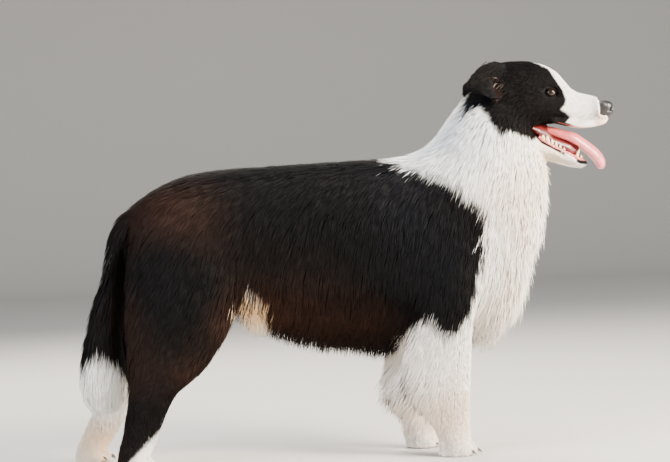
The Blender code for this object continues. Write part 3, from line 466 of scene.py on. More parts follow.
def new_mesh(name, points, faces):
    """A mesh from an array of places and a list of arrays of faces, each with its own side count."""
    mesh = bpy.data.meshes.new(name)
    mesh.vertices.add(len(points))
    mesh.vertices.foreach_set("co", np.ascontiguousarray(points, np.float32).ravel())
    loops = np.concatenate([f.ravel() for f in faces]).astype(np.int32)
    sides = np.concatenate([np.full(len(f), f.shape[1]) for f in faces])
    mesh.loops.add(len(loops))
    mesh.loops.foreach_set("vertex_index", loops)
    mesh.polygons.add(len(sides))
    starts = np.concatenate(([0], np.cumsum(sides)[:-1]))
    mesh.polygons.foreach_set("loop_start", starts.astype(np.int32))
    mesh.update(calc_edges=True)
    mesh.validate()
    mesh.shade_smooth()
    return mesh


def moved(mesh, points):
    """Puts a mesh's vertices at new places."""
    mesh.vertices.foreach_set("co", points.astype(np.float32).ravel())
    mesh.update()


def show(name, mesh, finish):
    """Puts a mesh into the scene as a piece with one finish."""
    piece = bpy.data.objects.new(name, mesh)
    bpy.context.scene.collection.objects.link(piece)
    mesh.materials.append(finish)
    return piece


def modified(name, mesh, modifier, weights=None, **settings):
    """The mesh as one modifier leaves it, which may read a weight at each vertex, in 20 levels."""
    carrier = bpy.data.objects.new(name, mesh)
    bpy.context.scene.collection.objects.link(carrier)
    step = carrier.modifiers.new(modifier.title(), modifier)
    if weights is not None:
        group = carrier.vertex_groups.new(name="kept")
        levels = np.round(weights * 20).astype(int)
        for level in range(21):
            group.add(np.nonzero(levels == level)[0].tolist(), level / 20, "REPLACE")
        step.vertex_group = "kept"
    for key, value in settings.items():
        setattr(step, key, value)
    result = bpy.data.meshes.new_from_object(
        carrier.evaluated_get(bpy.context.evaluated_depsgraph_get()))
    bpy.data.objects.remove(carrier)
    return result


def attribute(mesh, name, values):
    """Gives each vertex a number that the materials read by its name."""
    layer = mesh.attributes.new(name, "FLOAT", "POINT")
    layer.data.foreach_set("value", np.asarray(values, np.float32))


# --- the body ----------------------------------------------------------------------------------

Hull = namedtuple("Hull", "points normals faces tree mesh")
MADE = {}               # the hull and the skin, which later steps use again


def flesh():
    """The solids of flesh as one mesh, each grown a little so that neighbours overlap."""
    points, faces, start = [], [], 0
    for name in FLESH:
        shape = bmesh.new()
        shape.from_mesh(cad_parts[name].data)
        bmesh.ops.remove_doubles(shape, verts=shape.verts, dist=1e-6)
        mesh = bpy.data.meshes.new(name)
        shape.to_mesh(mesh)
        shape.free()
        points.append(corners(mesh) + out(mesh) * GROW)
        faces.append(triangles(mesh) + start)
        start += len(points[-1])
        bpy.data.meshes.remove(mesh)
    return new_mesh("flesh", np.vstack(points), [np.vstack(faces)])


def hull():
    """The coat's outer surface, fine on the head, with a tree that finds its nearest place."""
    if "hull" not in MADE:
        whole = modified("hull", flesh(), "REMESH", mode="VOXEL", voxel_size=SKIN_VOXEL)
        mesh = modified("hull", whole, "DECIMATE", weights=1.0 - 0.9 * fine(corners(whole)),
                        ratio=SKIN_KEPT, vertex_group_factor=1.0)
        points = corners(mesh)
        points = smoothed(points, edges(mesh), 4, share=0.5 - 0.25 * fine(points))
        moved(mesh, points)
        faces = triangles(mesh)
        tree = BVHTree.FromPolygons(points.tolist(), faces.tolist())
        MADE["hull"] = Hull(points, out(mesh), faces, tree, mesh)
    return MADE["hull"]


def fine(p):
    """One on the head and on the toes, where the body's shape is finest, and nought elsewhere."""
    head = smoothstep(0.20, 0.26, p[:, 0]) * smoothstep(0.49, 0.53, p[:, 2])
    return np.maximum(head, smoothstep(0.044, 0.034, p[:, 2]))


def nearest(p):
    """Nearest place on the coat's outer surface and the smooth normal there."""
    shell = hull()
    found = [shell.tree.find_nearest(q) for q in p.tolist()]
    at = np.array([f[0] for f in found])
    face = shell.faces[np.array([f[2] for f in found])]
    near = 1.0 / (np.linalg.norm(shell.points[face] - at[:, None], axis=-1) + 1e-4)
    return at, unit((shell.normals[face] * near[..., None]).sum(1))


def thickness(p, inward):
    """How thick the body is behind each place, looking inward."""
    tree = hull().tree
    rays = zip((p + inward * PROBE_START).tolist(), inward.tolist())
    reach = [tree.ray_cast(at, way, PROBE)[3] for at, way in rays]
    return np.array([PROBE if r is None else r + PROBE_START for r in reach])


def skin_mesh():
    """The body under its coat: the solids joined, smoothed and drawn in by the coat's depth."""
    shell = hull()
    p, normal, mesh = shell.points, shell.normals, shell.mesh.copy()
    links = edges(mesh)
    depth = np.minimum(coat_at(p)[2], THIN_SHARE * thickness(p, -normal))
    depth = smoothed(depth, links, 12)
    p = smoothed(p - normal * depth[:, None], links, 6, share=0.5 - 0.42 * fine(p))
    p = shaped_toes(shaped_tail(p))
    p[:, 2] = np.maximum(p[:, 2], SOLE)
    moved(mesh, p)
    for reach in (0.021, 0.0175):
        split_near_eyes(mesh, reach)
    p = corners(mesh)
    p = smoothed(p, edges(mesh), 5, share=0.5 * smoothstep(0.026, 0.018, from_eyes(p)))
    p = shaped_nose_seat(shaped_ears(shaped_mouth(p)))
    for side in SIDES:
        p = shaped_lids(p, side)
    moved(mesh, p)
    mesh.shade_smooth()
    return mesh


def shaped_tail(p):
    """Pushes the front of the tail's plume ahead to the trousers, so no light shows between them.

    The push is a bell over the height that fades out to the sides and to the tail's rear.
    """
    bell = np.exp(-((p[:, 2] - 0.365) / 0.060) ** 2) * smoothstep(0.034, 0.026, np.abs(p[:, 1]))
    ahead = 0.024 * bell * smoothstep(-0.445, -0.415, p[:, 0]) * (p[:, 0] < -0.382)
    return p + ahead[:, None] * (1.0, 0.0, 0.0)


# --- the shapes of the head ----------------------------------------------------------------------

EYE_AT, EYE_RADIUS = (0.3931, 0.0322, 0.6560), 0.0105
EYE_FACES = (0.34, 0.93, 0.10)          # the way the lids' opening faces: ahead, outwards and up
EYE_SLANT = math.radians(-11.0)
LID_LENGTH, LID_ABOVE, LID_BELOW = 0.0116, 0.0055, 0.0043
LID_THICK = 0.0012
EYE_ASIDE = 0.026       # nothing nearer the middle than this belongs to an eye
LIP_SPLIT = 0.5885      # height that parts the upper lip from the lower jaw
# Half width of the muzzle and height of its lip line, along x.
MUZZLE_X = (0.385, 0.393, 0.409, 0.4225, 0.437, 0.452, 0.471, 0.487, 0.4975, 0.5055)
MUZZLE_HALF = (0.0460, 0.0455, 0.0385, 0.0330, 0.0290, 0.0265, 0.0248, 0.0228, 0.0188, 0.0140)
UPPER_LIP = (0.5990, 0.6000, 0.6010, 0.5975, 0.5930, 0.5905, 0.5910, 0.5930, 0.5965, 0.6020)
PALATE_RISE = 0.007
# Top of the lower jaw in its middle, and the line where its lip meets the gum, along x.
JAW_X = (0.3543, 0.3758, 0.3953, 0.4113, 0.4283, 0.4433, 0.4553, 0.4648)
JAW_TOP = (0.5940, 0.5760, 0.5635, 0.5545, 0.5470, 0.5390, 0.5335, 0.5290)
LOWER_LIP_X = (0.362, 0.374, 0.392, 0.406, 0.422, 0.437, 0.448, 0.460)
LOWER_LIP = (0.583, 0.569, 0.560, 0.552, 0.543, 0.534, 0.529, 0.528)
# The hollow of each ear: its middle (x, distance from the middle, z) and its reach along and up.
EAR_HOLLOW = (0.2960, 0.0740, 0.6700, 0.0140, 0.0230)
LEFT_EAR_AHEAD = 0.019
TOE_WIDTH = 0.0150


def eye_frame(side):
    """Middle of the eyeball, and the way along, up and out of the lids' opening."""
    middle = np.array(EYE_AT) * (1.0, side, 1.0)
    face = unit(np.array(EYE_FACES) * (1.0, side, 1.0))
    along = unit(np.array((1.0, 0.0, 0.0)) - face * face[0])
    up = np.cross(face, along)
    up = up * np.sign(up[2])
    turned = along * math.cos(EYE_SLANT) + up * math.sin(EYE_SLANT)
    up = up * math.cos(EYE_SLANT) - along * math.sin(EYE_SLANT)
    return middle, turned, up, face


def from_eyes(p):
    """Distance of each place from the middle of the nearer eye."""
    return np.minimum(*[np.linalg.norm(p - eye_frame(side)[0], axis=1) for side in SIDES])


def lid_ring(p, side):
    """Each point along, up and out of the eye's opening, and its share of the way to the lids' edge.

    The edge is an oval of two half ellipses, the upper one taller than the lower. The share is the
    root of the sum of the squares of the way along and the way up, each over its half axis.
    """
    middle, along, up, face = eye_frame(side)
    q = p - middle
    a, b, c = q @ along, q @ up, q @ face
    tall = np.where(b > 0.0, LID_ABOVE, LID_BELOW)
    ring = np.sqrt((a / LID_LENGTH) ** 2 + (b / tall) ** 2)
    return a, b, c, ring


def split_near_eyes(mesh, reach):
    """Halves the edges within a reach of either eye."""
    shape = bmesh.new()
    shape.from_mesh(mesh)
    p = corners(mesh)
    near = (from_eyes(p) < reach) & (np.abs(p[:, 1]) > EYE_ASIDE)
    shape.edges.ensure_lookup_table()
    chosen = [shape.edges[i] for i in np.nonzero(near[edges(mesh)].all(1))[0].tolist()]
    bmesh.ops.subdivide_edges(shape, edges=chosen, cuts=1)
    bmesh.ops.triangulate(shape, faces=shape.faces)
    shape.to_mesh(mesh)
    shape.free()


def shaped_lids(p, side):
    """Opens the lids over the eyeball and rounds them: a thin wall that follows the ball.

    Near the edge the skin takes the ball's radius and the lid's thickness, with a narrow bell for
    the rounded rim and another one, pressed in, for the crease above. Further out it fades into
    the face, and inside the edge it drops behind the eye.
    """
    middle, along, up, face = eye_frame(side)
    a, b, c, ring = lid_ring(p, side)
    here = (np.abs(a) < 0.030) & (np.abs(b) < 0.024) & (c > -0.006) & (p[:, 1] * side > 0.02)
    # points next to the edge are brought onto it, so that it is a clean line
    snap = np.where((ring > 0.80) & (ring < 1.16), 1.0 / np.maximum(ring, 1e-6), 1.0)
    a, b = a * snap, b * snap
    ball = np.sqrt(np.maximum((EYE_RADIUS + LID_THICK) ** 2 - a * a - b * b, 0.0))
    crease = -0.0010 * np.exp(-((ring - 1.75) / 0.14) ** 2) * (b > -0.002)
    lid = ball + 0.0004 * np.exp(-((ring - 1.25) / 0.18) ** 2) + crease
    lid = np.maximum(lid, np.where(ring > 1.3, c - 0.0035, -1.0))
    c = lid + (c - lid) * smoothstep(1.35, 2.6, ring) + 0.5 * crease
    c = np.where(ring < 0.97, 0.0035, c)
    lids = middle + a[:, None] * along + b[:, None] * up + c[:, None] * face
    return np.where((here & (ring < 2.7))[:, None], lids, p)


def shaped_mouth(p):
    """Lips that hang level below a hollow palate, and a lower jaw cleared down to its floor."""
    x, y, z = p.T
    half = np.interp(x, MUZZLE_X, MUZZLE_HALF)
    lip = np.interp(x, MUZZLE_X, UPPER_LIP)
    share = np.abs(y) / half
    under = smoothstep(0.386, 0.402, x) * smoothstep(0.5075, 0.500, x) * ((z > LIP_SPLIT) & (z < 0.612))
    hollow = lip + PALATE_RISE * np.clip(1.0 - (share / 0.68) ** 2, 0.0, 1.0)
    level = hollow + np.maximum(z - lip, 0.0) * smoothstep(0.62, 0.98, share)
    z = z + (level - z) * under
    floor = np.interp(x, JAW_X, JAW_TOP)
    toothed = (x > 0.3740) & (z < LIP_SPLIT) & (z > floor)
    z = np.where(toothed, floor, z)
    return np.column_stack((x, y, z))


def pink_flesh(p, normal):
    """Share of bare pink flesh: palate, inside of the jaw and cheeks, and a blush below the nose."""
    x, y, z = p.T
    near = np.abs(y)
    lip, half = np.interp(x, MUZZLE_X, UPPER_LIP), np.interp(x, MUZZLE_X, MUZZLE_HALF)
    lower = np.interp(x, LOWER_LIP_X, LOWER_LIP)
    palate = smoothstep(0.404, 0.414, x) * smoothstep(0.500, 0.492, x) * smoothstep(0.66, 0.52, near / half)
    palate *= smoothstep(0.012, 0.009, np.abs(z - lip - 0.003)) * smoothstep(-0.55, -0.80, normal[:, 2])
    jaw = smoothstep(0.362, 0.367, x) * (z < np.interp(x, JAW_X, JAW_TOP) + 0.004)
    jaw = jaw * smoothstep(lower - 0.001, lower + 0.001, z)
    cheek = smoothstep(-0.0015, 0.0010, inside_by(p, MOUTH)) * (x < 0.376) * smoothstep(0.034, 0.029, near)
    below_nose = np.hypot((x - 0.4835) / 0.0105, (z - 0.5990) / 0.0085)
    blush = 0.55 * smoothstep(1.0, 0.3, below_nose) * (near > 0.006)
    return np.clip(np.maximum.reduce((palate, jaw, cheek, blush)), 0.0, 1.0)


def dark_rims(p, normal):
    """Share of dark, hairless skin: both lips, the corner of the mouth and the lids' edges."""
    x, y, z = p.T
    near = np.abs(y)
    lower = np.interp(x, LOWER_LIP_X, LOWER_LIP)
    band = (x > 0.3635) * smoothstep(lower + 0.0022, lower + 0.0006, z)
    band = band * smoothstep(lower - 0.0070, lower - 0.0050, z)
    band *= (z < LIP_SPLIT) * np.maximum(smoothstep(0.424, 0.414, x), smoothstep(0.436, 0.442, x))
    over = z - np.interp(x, MUZZLE_X, UPPER_LIP)
    edge = smoothstep(0.0040, 0.0022, over) * smoothstep(0.362, 0.367, x) * smoothstep(0.442, 0.426, x)
    under = smoothstep(0.0090, 0.0060, over) * smoothstep(-0.30, -0.50, normal[:, 2])
    under = under * smoothstep(0.366, 0.372, x) * smoothstep(0.420, 0.408, x)
    edge = np.maximum(edge, under) * (z > LIP_SPLIT)
    edge *= smoothstep(0.40, 0.50, near / np.interp(x, MUZZLE_X, MUZZLE_HALF))
    corner = smoothstep(0.0085, 0.0060, np.hypot(x - 0.366, z - 0.590)) * (near > 0.016)
    lids = [smoothstep(1.60, 1.35, lid_ring(p, side)[3]) * (y * side > EYE_ASIDE) for side in SIDES]
    return np.clip(np.maximum.reduce((band, edge, corner, *lids)), 0.0, 1.0)


def shaped_toes(p):
    """Presses a bell-shaped groove between each two toes of every paw, deepest at its front."""
    for front, middle in PAWS:
        ahead = smoothstep(-0.030, 0.004, p[:, 0] - front) * (np.abs(p[:, 1] - middle) < 0.045)
        for aside in (-TOE_WIDTH, 0.0, TOE_WIDTH):
            bell = np.exp(-((p[:, 1] - middle - aside) / 0.0024) ** 2) * smoothstep(0.036, 0.020, p[:, 2])
            back, down = 0.0050 * bell * ahead, 0.0030 * bell * ahead * (p[:, 2] > 0.012)
            p = p - np.column_stack((back, 0.0 * bell, down))
    return p


def shaped_nose_seat(p):
    """Rounds the muzzle's end down to the nose leather and sinks what lies under the leather."""
    x, y, z = p.T
    y = y * (1.0 - 0.18 * smoothstep(0.458, 0.487, x) * smoothstep(0.600, 0.612, z))
    height = z - NOSE_MIDDLE[2]
    far = np.maximum(np.hypot(y / NOSE_HALF[1], height / NOSE_HALF[2]), 1e-6)
    above = (z > 0.6065) * smoothstep(1.75, 1.45, far)
    rim = np.where(far > 0.92, 0.92 + (far - 0.92) * (1.0 - 0.75 * smoothstep(0.472, 0.4875, x)), far)
    seat = rim + (np.minimum(rim, 0.78) - rim) * smoothstep(0.4868, 0.4895, x)
    share = (seat / far - 1.0) * above + 1.0
    y, z = y * share, NOSE_MIDDLE[2] + height * share
    x = x - np.maximum(x - 0.502, 0.0) * above * (x > 0.484)
    x = x - 0.35 * np.maximum(x - 0.4990, 0.0) * (z <= 0.6085)
    return np.column_stack((x, y, z))


def ear_share(p):
    """How near each place is to the middle of an ear's hollow: one there, nought at its rim."""
    x, y, z, long, tall = EAR_HOLLOW
    ahead = np.where(p[:, 1] > 0.0, LEFT_EAR_AHEAD, 0.0)
    far = ((p[:, 0] - x - ahead) / long) ** 2 + ((p[:, 2] - z) / tall) ** 2
    return np.where(np.abs(p[:, 1]) > y - 0.024, np.clip(1.0 - far, 0.0, 1.0), 0.0)


def shaped_ears(p):
    """Presses in the hollow of each ear's outer face."""
    deep = 0.0090 * smoothstep(0.0, 0.8, ear_share(p))
    outer = np.abs(p[:, 1]) > 0.054
    return p - np.column_stack((np.zeros(len(p)), np.sign(p[:, 1]) * deep * outer, np.zeros(len(p))))


# --- the coat ----------------------------------------------------------------------------------

# One kind of coat: how many locks, in how many steps each runs, how far they gather, how much they
# wave, between which shares of the coat's depth their tips lie, and the seed of its random numbers.
Kind = namedtuple("Kind", "name count steps clump wave tip_depth seed", defaults=(0.0, 0.0, (0.0, 0.0), 13))
SHORT_HAIR = 0.020      # hair shorter than this is laid in fewer, stiffer steps
FEWEST_LOCKS = 20       # a region with fewer locks of a kind gets no piece of it
LEAST_REACH, MOST_REACH = 0.62, 1.06    # how far a lock goes where it meets the coat's edge
GATHER_EACH, GATHER_WITHIN = 8, 0.012   # every eighth lock draws in those within this distance
EDGE = 0.0020           # half the width over which a lock turns from black to white
SOFTNESS = 0.70         # how far a lock is shaded as the coat that it lies in
PATCH = 0.003           # width of a lock's patch on its map


def area_of(tri):
    """Area of each triangle."""
    return np.linalg.norm(np.cross(tri[:, 1] - tri[:, 0], tri[:, 2] - tri[:, 0]), axis=1) / 2.0


def roots(mesh, weight, count, seed):
    """Random places on the skin, as many for each face as its area times its weight asks."""
    turn = rng(seed)
    p, faces = corners(mesh), triangles(mesh)
    tri = p[faces]
    share = area_of(tri) * weight[faces].mean(1)
    pick = turn.choice(len(faces), count, p=share / share.sum())
    a, b = np.sqrt(turn.random((count, 1))), turn.random((count, 1))
    tri = tri[pick]
    return tri[:, 0] * (1 - a) + tri[:, 1] * a * (1 - b) + tri[:, 2] * a * b


def run(start, length, tip_depth, reach, steps):
    """The middle line of each lock: from its root downstream, rising out to the coat's surface.

    Each step goes along the lie of the coat, and is then set at its own depth under the nearest
    place of the outer surface: the root's depth at first, the tip's at the end. A lock stops where
    it meets that surface end on, as the fringes do, and its own reach says how much longer or
    shorter it is than the way to there.
    """
    at, normal = nearest(start)
    root_depth = dot(at - start, normal)[:, 0]
    line, normals = [start], [normal]
    free = np.ones(len(start), bool)
    for step in range(1, steps + 1):
        here, over = line[-1], normals[-1]
        way = coat_at(here)[0]
        against = dot(way, over)
        flat = 0.92 * (1.0 - smoothstep(0.50, 0.85, np.abs(against)))
        way = unit(way - over * against * flat)
        ahead = here + way * (length / steps)[:, None]
        at, normal = nearest(ahead)
        share = (step / steps) ** 0.8
        depth = (root_depth * (1.0 - share) + tip_depth * share)[:, None]
        ahead = at - normal * depth
        line.append(np.where(free[:, None], ahead, here))
        normals.append(np.where(free[:, None], normal, over))
        free &= ~(dot(way, normal)[:, 0] > 0.60)
    line = np.stack(line, 1)
    size = np.where(free, 1.0, reach)
    gap = np.linalg.norm(np.diff(line, axis=1), axis=2).sum(1)
    share = np.clip((reach - LEAST_REACH) / (MOST_REACH - LEAST_REACH), 0.0, 1.0)
    spare = soft_sum(line[:, -1], FRINGES) * share ** 1.5
    return evened(line, size + np.where(free, 0.0, spare / np.maximum(gap, 1e-4))), np.stack(normals, 1)


def evened(line, size):
    """Points spread evenly along each line from its start to its size's share of its length."""
    gap = np.linalg.norm(np.diff(line, axis=1), axis=2)
    along = np.concatenate((np.zeros((len(line), 1)), np.cumsum(gap, axis=1)), axis=1)
    steps = line.shape[1] - 1
    rows = np.arange(len(line))
    total = along[:, -1]

    def place(want):
        after = np.clip((along < want[:, None]).sum(1), 1, steps)
        low, high = along[rows, after - 1], along[rows, after]
        share = ((want - low) / np.maximum(high - low, 1e-9))[:, None]
        return line[rows, after - 1] * (1 - share) + line[rows, after] * share

    end = unit(line[:, -1] - place(total * 0.75))
    result = []
    for i in range(steps + 1):
        want = total * size * i / steps
        over = np.maximum(want - total, 0.0)[:, None]
        result.append(place(np.minimum(want, total)) + end * over)
    return np.stack(result, 1)


def gathered(line, clump):
    """Locks drawn together towards their tips, and the number of the lock that draws each."""
    lead = np.arange(0, len(line), GATHER_EACH)
    tree = KDTree(len(lead))
    for i, q in enumerate(line[lead, 0].tolist()):
        tree.insert(q, i)
    tree.balance()
    found = [tree.find(q) for q in line[:, 0].tolist()]
    own = lead[np.array([f[1] for f in found])]
    near = np.array([f[2] for f in found]) < GATHER_WITHIN
    share = np.linspace(0.0, 1.0, line.shape[1]) ** 1.4 * clump
    return line + (line[own] - line) * share[None, :, None] * near[:, None, None], own


def bent_lines(start, way, bend, length, steps):
    """Lines that leave their start along a way and bend as the square of the way along them."""
    t = np.linspace(0.0, 1.0, steps + 1)[None, :, None]
    return start[:, None] + (way[:, None] * t + bend * t ** 2) * length[:, None, None]


def blades(line, normals, width):
    """A closed, three-sided blade along each line: points, and faces of four and of three sides.

    Both its ends are points. Each ring between them has a left, a right and a raised corner.
    """
    count, rings = len(line), line.shape[1] - 2
    way = unit(np.gradient(line, axis=1))
    side = unit(np.cross(way, normals))
    up = unit(np.cross(side, way))
    s = np.arange(1, rings + 1) / (rings + 1.0)
    half = (width[:, None] * (1.10 - 0.55 * s ** 1.5) / 2.0)[..., None]
    body, side, up = line[:, 1:-1], side[:, 1:-1], up[:, 1:-1]
    ring = np.stack((body - side * half - up * half * 0.3,
                     body + side * half - up * half * 0.3,
                     body + up * half * 0.7), axis=2)
    points = np.concatenate((line[:, :1], ring.reshape(count, rings * 3, 3), line[:, -1:]), axis=1)
    first = (np.arange(count) * (rings * 3 + 2))[:, None, None]
    a = np.arange(3)
    b = (a + 1) % 3
    low = (np.arange(rings - 1) * 3)[:, None] + 1
    quads = np.stack((low + a, low + 3 + a, low + 3 + b, low + b), axis=-1)
    last = rings * 3 - 2
    ends = np.concatenate((np.stack((a * 0, 1 + a, 1 + b), axis=-1),
                           np.stack((last + a, a * 0 + rings * 3 + 1, last + b), axis=-1)))
    return points, first + quads.reshape(1, -1, 4), first + ends[None]


def round_axis(p, axis):
    """Place on a tube unrolled round an axis: the turn round it and the way along it, nought to one."""
    a, b = np.array(axis)
    way = b - a
    length = np.linalg.norm(way)
    way /= length
    side = unit(np.cross(way, (0.13, 0.97, 0.21)))
    over = np.cross(way, side)
    q = p - a
    turn = np.arctan2(q @ over, q @ side) / math.tau + 0.5
    return np.column_stack((turn, np.clip(q @ way / length, 0.0, 1.0))) * 0.99 + 0.005


# The axis that each region's map is unrolled round, from its start to its end.
AXES = {
    "head": ((0.230, 0.0, 0.655), (0.512, 0.0, 0.620)),
    "neck": ((0.140, 0.0, 0.480), (0.330, 0.0, 0.640)),
    "chest": ((0.250, 0.0, 0.170), (0.330, 0.0, 0.480)),
    "shoulder": ((-0.080, 0.0, 0.380), (0.260, 0.0, 0.380)),
    "flank": ((-0.360, 0.0, 0.380), (0.000, 0.0, 0.380)),
    "thigh": ((-0.370, 0.065, 0.500), (-0.330, 0.075, 0.180)),
    "shank": ((-0.350, 0.080, 0.240), (-0.440, 0.085, 0.000)),
    "tail": ((-0.400, 0.0, 0.480), (-0.470, 0.0, 0.080)),
    "foreleg": ((0.160, 0.075, 0.270), (0.180, 0.075, 0.000)),
}


def coat_piece(name, locks, finish):
    """One coat piece from its locks: their blades, attributes and maps.

    The map Strand runs across each lock and, in lock widths, along it, and is shifted by a whole
    number of locks for each lot, so that neighbours don't share their streaks.
    """
    line, normals, width = locks["line"], locks["normals"], locks["width"]
    points, quads, ends = blades(line, normals, width)
    count, each = points.shape[:2]
    mesh = new_mesh(name, points.reshape(-1, 3), [quads.reshape(-1, 4), ends.reshape(-1, 3)])
    rings = (each - 2) // 3
    along = np.concatenate(([0.0], np.repeat(np.arange(1, rings + 1) / (rings + 1.0), 3), [1.0]))
    white = locks["white"]
    white = np.concatenate((white[:, :1], np.repeat(white[:, 1:-1], 3, axis=1), white[:, -1:]), axis=1)
    attribute(mesh, "white", white.ravel())
    attribute(mesh, "warmth", np.repeat(locks["warmth"], each))
    attribute(mesh, "lot", np.repeat(locks["lot"], each))
    attribute(mesh, "along", np.tile(along, count))
    across = np.concatenate(([0.5], np.tile((0.0, 1.0, 0.5), rings), [0.5]))
    patch = np.column_stack((across, along)) - 0.5
    maps = (locks["map"][:, None] + patch[None] * PATCH).reshape(-1, 2)
    length = np.linalg.norm(np.diff(line, axis=1), axis=2).sum(1)
    strand = np.stack((np.tile(across, (count, 1)) + np.floor(locks["lot"] * 97.0)[:, None] * 3.0,
                       along[None] * (length / width)[:, None]), axis=-1).reshape(-1, 2)
    loops = np.empty(len(mesh.loops), np.int32)
    mesh.loops.foreach_get("vertex_index", loops)
    soft = np.repeat(locks["soft"], each)[:, None]
    facing = out(mesh) * (1.0 - soft) + np.repeat(normals.mean(1), each, axis=0) * soft
    mesh.normals_split_custom_set_from_vertices(unit(facing))
    for title, places in (("OFBake", maps), ("Strand", strand)):
        layer = mesh.uv_layers.new(name=title)
        layer.uv.foreach_set("vector", places[loops].astype(np.float32).ravel())
    return show(name, mesh, finish)


def grow(mesh, weight, kind):
    """Lays out the locks of one kind of coat over the skin.

    Each lock runs down the lie of the coat, is gathered with its neighbours, and sways to its
    sides as a sine wave that grows with the way along it.
    """
    turn = rng(kind.seed + 1)
    start = roots(mesh, weight, kind.count, kind.seed)
    _, length, depth, width = coat_at(start)
    size = turn.uniform(0.72, 1.18, kind.count)
    tip = turn.uniform(kind.tip_depth[0], kind.tip_depth[1], kind.count) * depth
    tip -= soft_sum(start, LOOSE) * (0.1 + 1.6 * turn.random(kind.count) ** 2.5)
    reach = turn.uniform(LEAST_REACH, MOST_REACH, kind.count)
    line, normals = run(start, length * size, tip, reach, kind.steps)
    line, own = gathered(line, kind.clump)
    s = np.linspace(0.0, 1.0, line.shape[1])
    way = unit(np.gradient(line, axis=1))
    side = unit(np.cross(way, normals))
    sway = np.sin(math.tau * (s[None] * turn.uniform(0.5, 0.9, (kind.count, 1))
                              + turn.random((kind.count, 1)))) * s[None]
    line = line + side * (sway * (length * kind.wave)[:, None])[..., None]
    line[..., 2] = np.maximum(line[..., 2], LOWEST_HAIR)
    path = np.linalg.norm(np.diff(line, axis=1), axis=2).sum(1)
    # a lock that doubles back on itself, where two parts of the body meet, is left out
    kept = np.linalg.norm(line[:, -1] - line[:, 0], axis=1) > 0.6 * path
    kept &= dot(unit(line[:, 1] - line[:, 0]), unit(line[:, -1] - line[:, -2]))[:, 0] > 0.3
    border = whiteness(line.reshape(-1, 3)).reshape(line.shape[:2])
    # a lock keeps its root's colour some way over the border, so the edge only frays downstream
    keeps = np.where(border[:, 0] > border[:, -1], 1.0, -1.0)
    stray = 0.06 * ripple(start, 0.020, 5) + keeps * np.abs(turn.normal(0.0, 0.11, kind.count))
    border = border + (stray * length)[:, None]
    hung = smoothstep(0.004, 0.020, soft_sum(line[:, -1], FRINGES)) * (border[:, -1] < 0.0)
    width = width * turn.uniform(0.75, 1.25, kind.count)
    # locks that are drawn together share part of their shade
    lot = 0.5 + 0.175 * turn.normal(size=kind.count) + 0.30 * (rng(9).random(kind.count)[own] - 0.5)
    locks = {
        "root": start, "line": line, "normals": normals, "width": width, "warmth": warmth(start),
        "white": smoothstep(-EDGE, EDGE, border), "lot": np.clip(lot, 0.0, 1.0),
        "soft": SOFTNESS * (1.0 - 0.8 * hung),
    }
    return {key: value[kept] for key, value in locks.items()}


def wisps(mesh, weight, kind):
    """Thin locks that hang free of the coat's lower and front edges, each as long as WISPS says."""
    turn = rng(kind.seed + 1)
    start = roots(mesh, weight, kind.count, kind.seed)
    at, normal = nearest(start)
    way, _, _, width = coat_at(start)
    free = turn.uniform(0.35, 1.15, kind.count) * soft_sum(start, WISPS)
    length = np.linalg.norm(at - start, axis=1) + free
    way = unit(way + normal * turn.uniform(0.0, 0.25, (kind.count, 1)) + (0.0, 0.0, -0.4))
    side = unit(np.cross(way, normal))
    bend = side * turn.normal(0.0, 0.16, (kind.count, 1)) + np.array((0.0, 0.0, -0.10))
    line = bent_lines(start, way, bend[:, None], length, kind.steps)
    white = smoothstep(-EDGE, EDGE, whiteness(start))
    return {
        "root": start, "line": line, "normals": np.repeat(normal[:, None], kind.steps + 1, axis=1),
        "width": width * turn.uniform(0.45, 0.75, kind.count),
        "white": np.repeat(white[:, None], kind.steps + 1, axis=1), "warmth": warmth(start),
        "lot": turn.random(kind.count), "soft": np.full(kind.count, 0.15),
    }


def hairy(p, normal):
    """Share of the full coat at each place of the skin: none on lips, lids, nose and soles."""
    bare = pink_flesh(p, normal)
    share = 1.0 - np.maximum(bare * (bare > 0.56), dark_rims(p, normal))
    for side in SIDES:
        ring = lid_ring(p, side)[3]
        share *= np.where((p[:, 1] * side > EYE_ASIDE) & (ring < 1.5), 0.0, 1.0)
    q = (p - NOSE_MIDDLE) / NOSE_HALF
    share *= np.where((p[:, 0] > 0.4875) & (np.hypot(q[:, 1], q[:, 2]) < 1.0), 0.0, 1.0)
    share *= 1.0 - 0.95 * smoothstep(0.35, 0.60, ear_share(p))
    sole = (p[:, 2] < 0.004) & (normal[:, 2] < -0.5)
    mouth = (inside_by(p, MOUTH) > 0.0012) & (p[:, 0] > 0.37) & (np.abs(p[:, 1]) < 0.030)
    return np.where(sole | mouth, 0.0, share)


def kinds_of_coat(mesh, share):
    """How each kind of coat is laid, the kind, and how thickly it grows at each point of the skin.

    Long and short hair grow as thick as one over a lock's length and width. Wisps grow where the
    lie of the coat leads off the body, and a few all over the front of the chest.
    """
    p, normal = corners(mesh), out(mesh)
    lie, length, _, width = coat_at(p)
    crowd = 1.0 / (length * width) * hairy(p, normal)
    short = length < SHORT_HAIR
    hanging = soft_sum(p, WISPS)
    free = hanging * smoothstep(0.15, 0.60, dot(lie, normal)[:, 0])
    free += 0.12 * hanging * (p[:, 0] > 0.26)
    return ((grow, Kind("long", int(90000 * share), 3, 0.42, 0.04, (-0.05, 0.30), 11), crowd * ~short),
            (grow, Kind("short", int(45000 * share), 2, 0.25, 0.03, (-0.10, 0.40), 12), crowd * short),
            (wisps, Kind("wisps", int(7000 * share), 3), free))


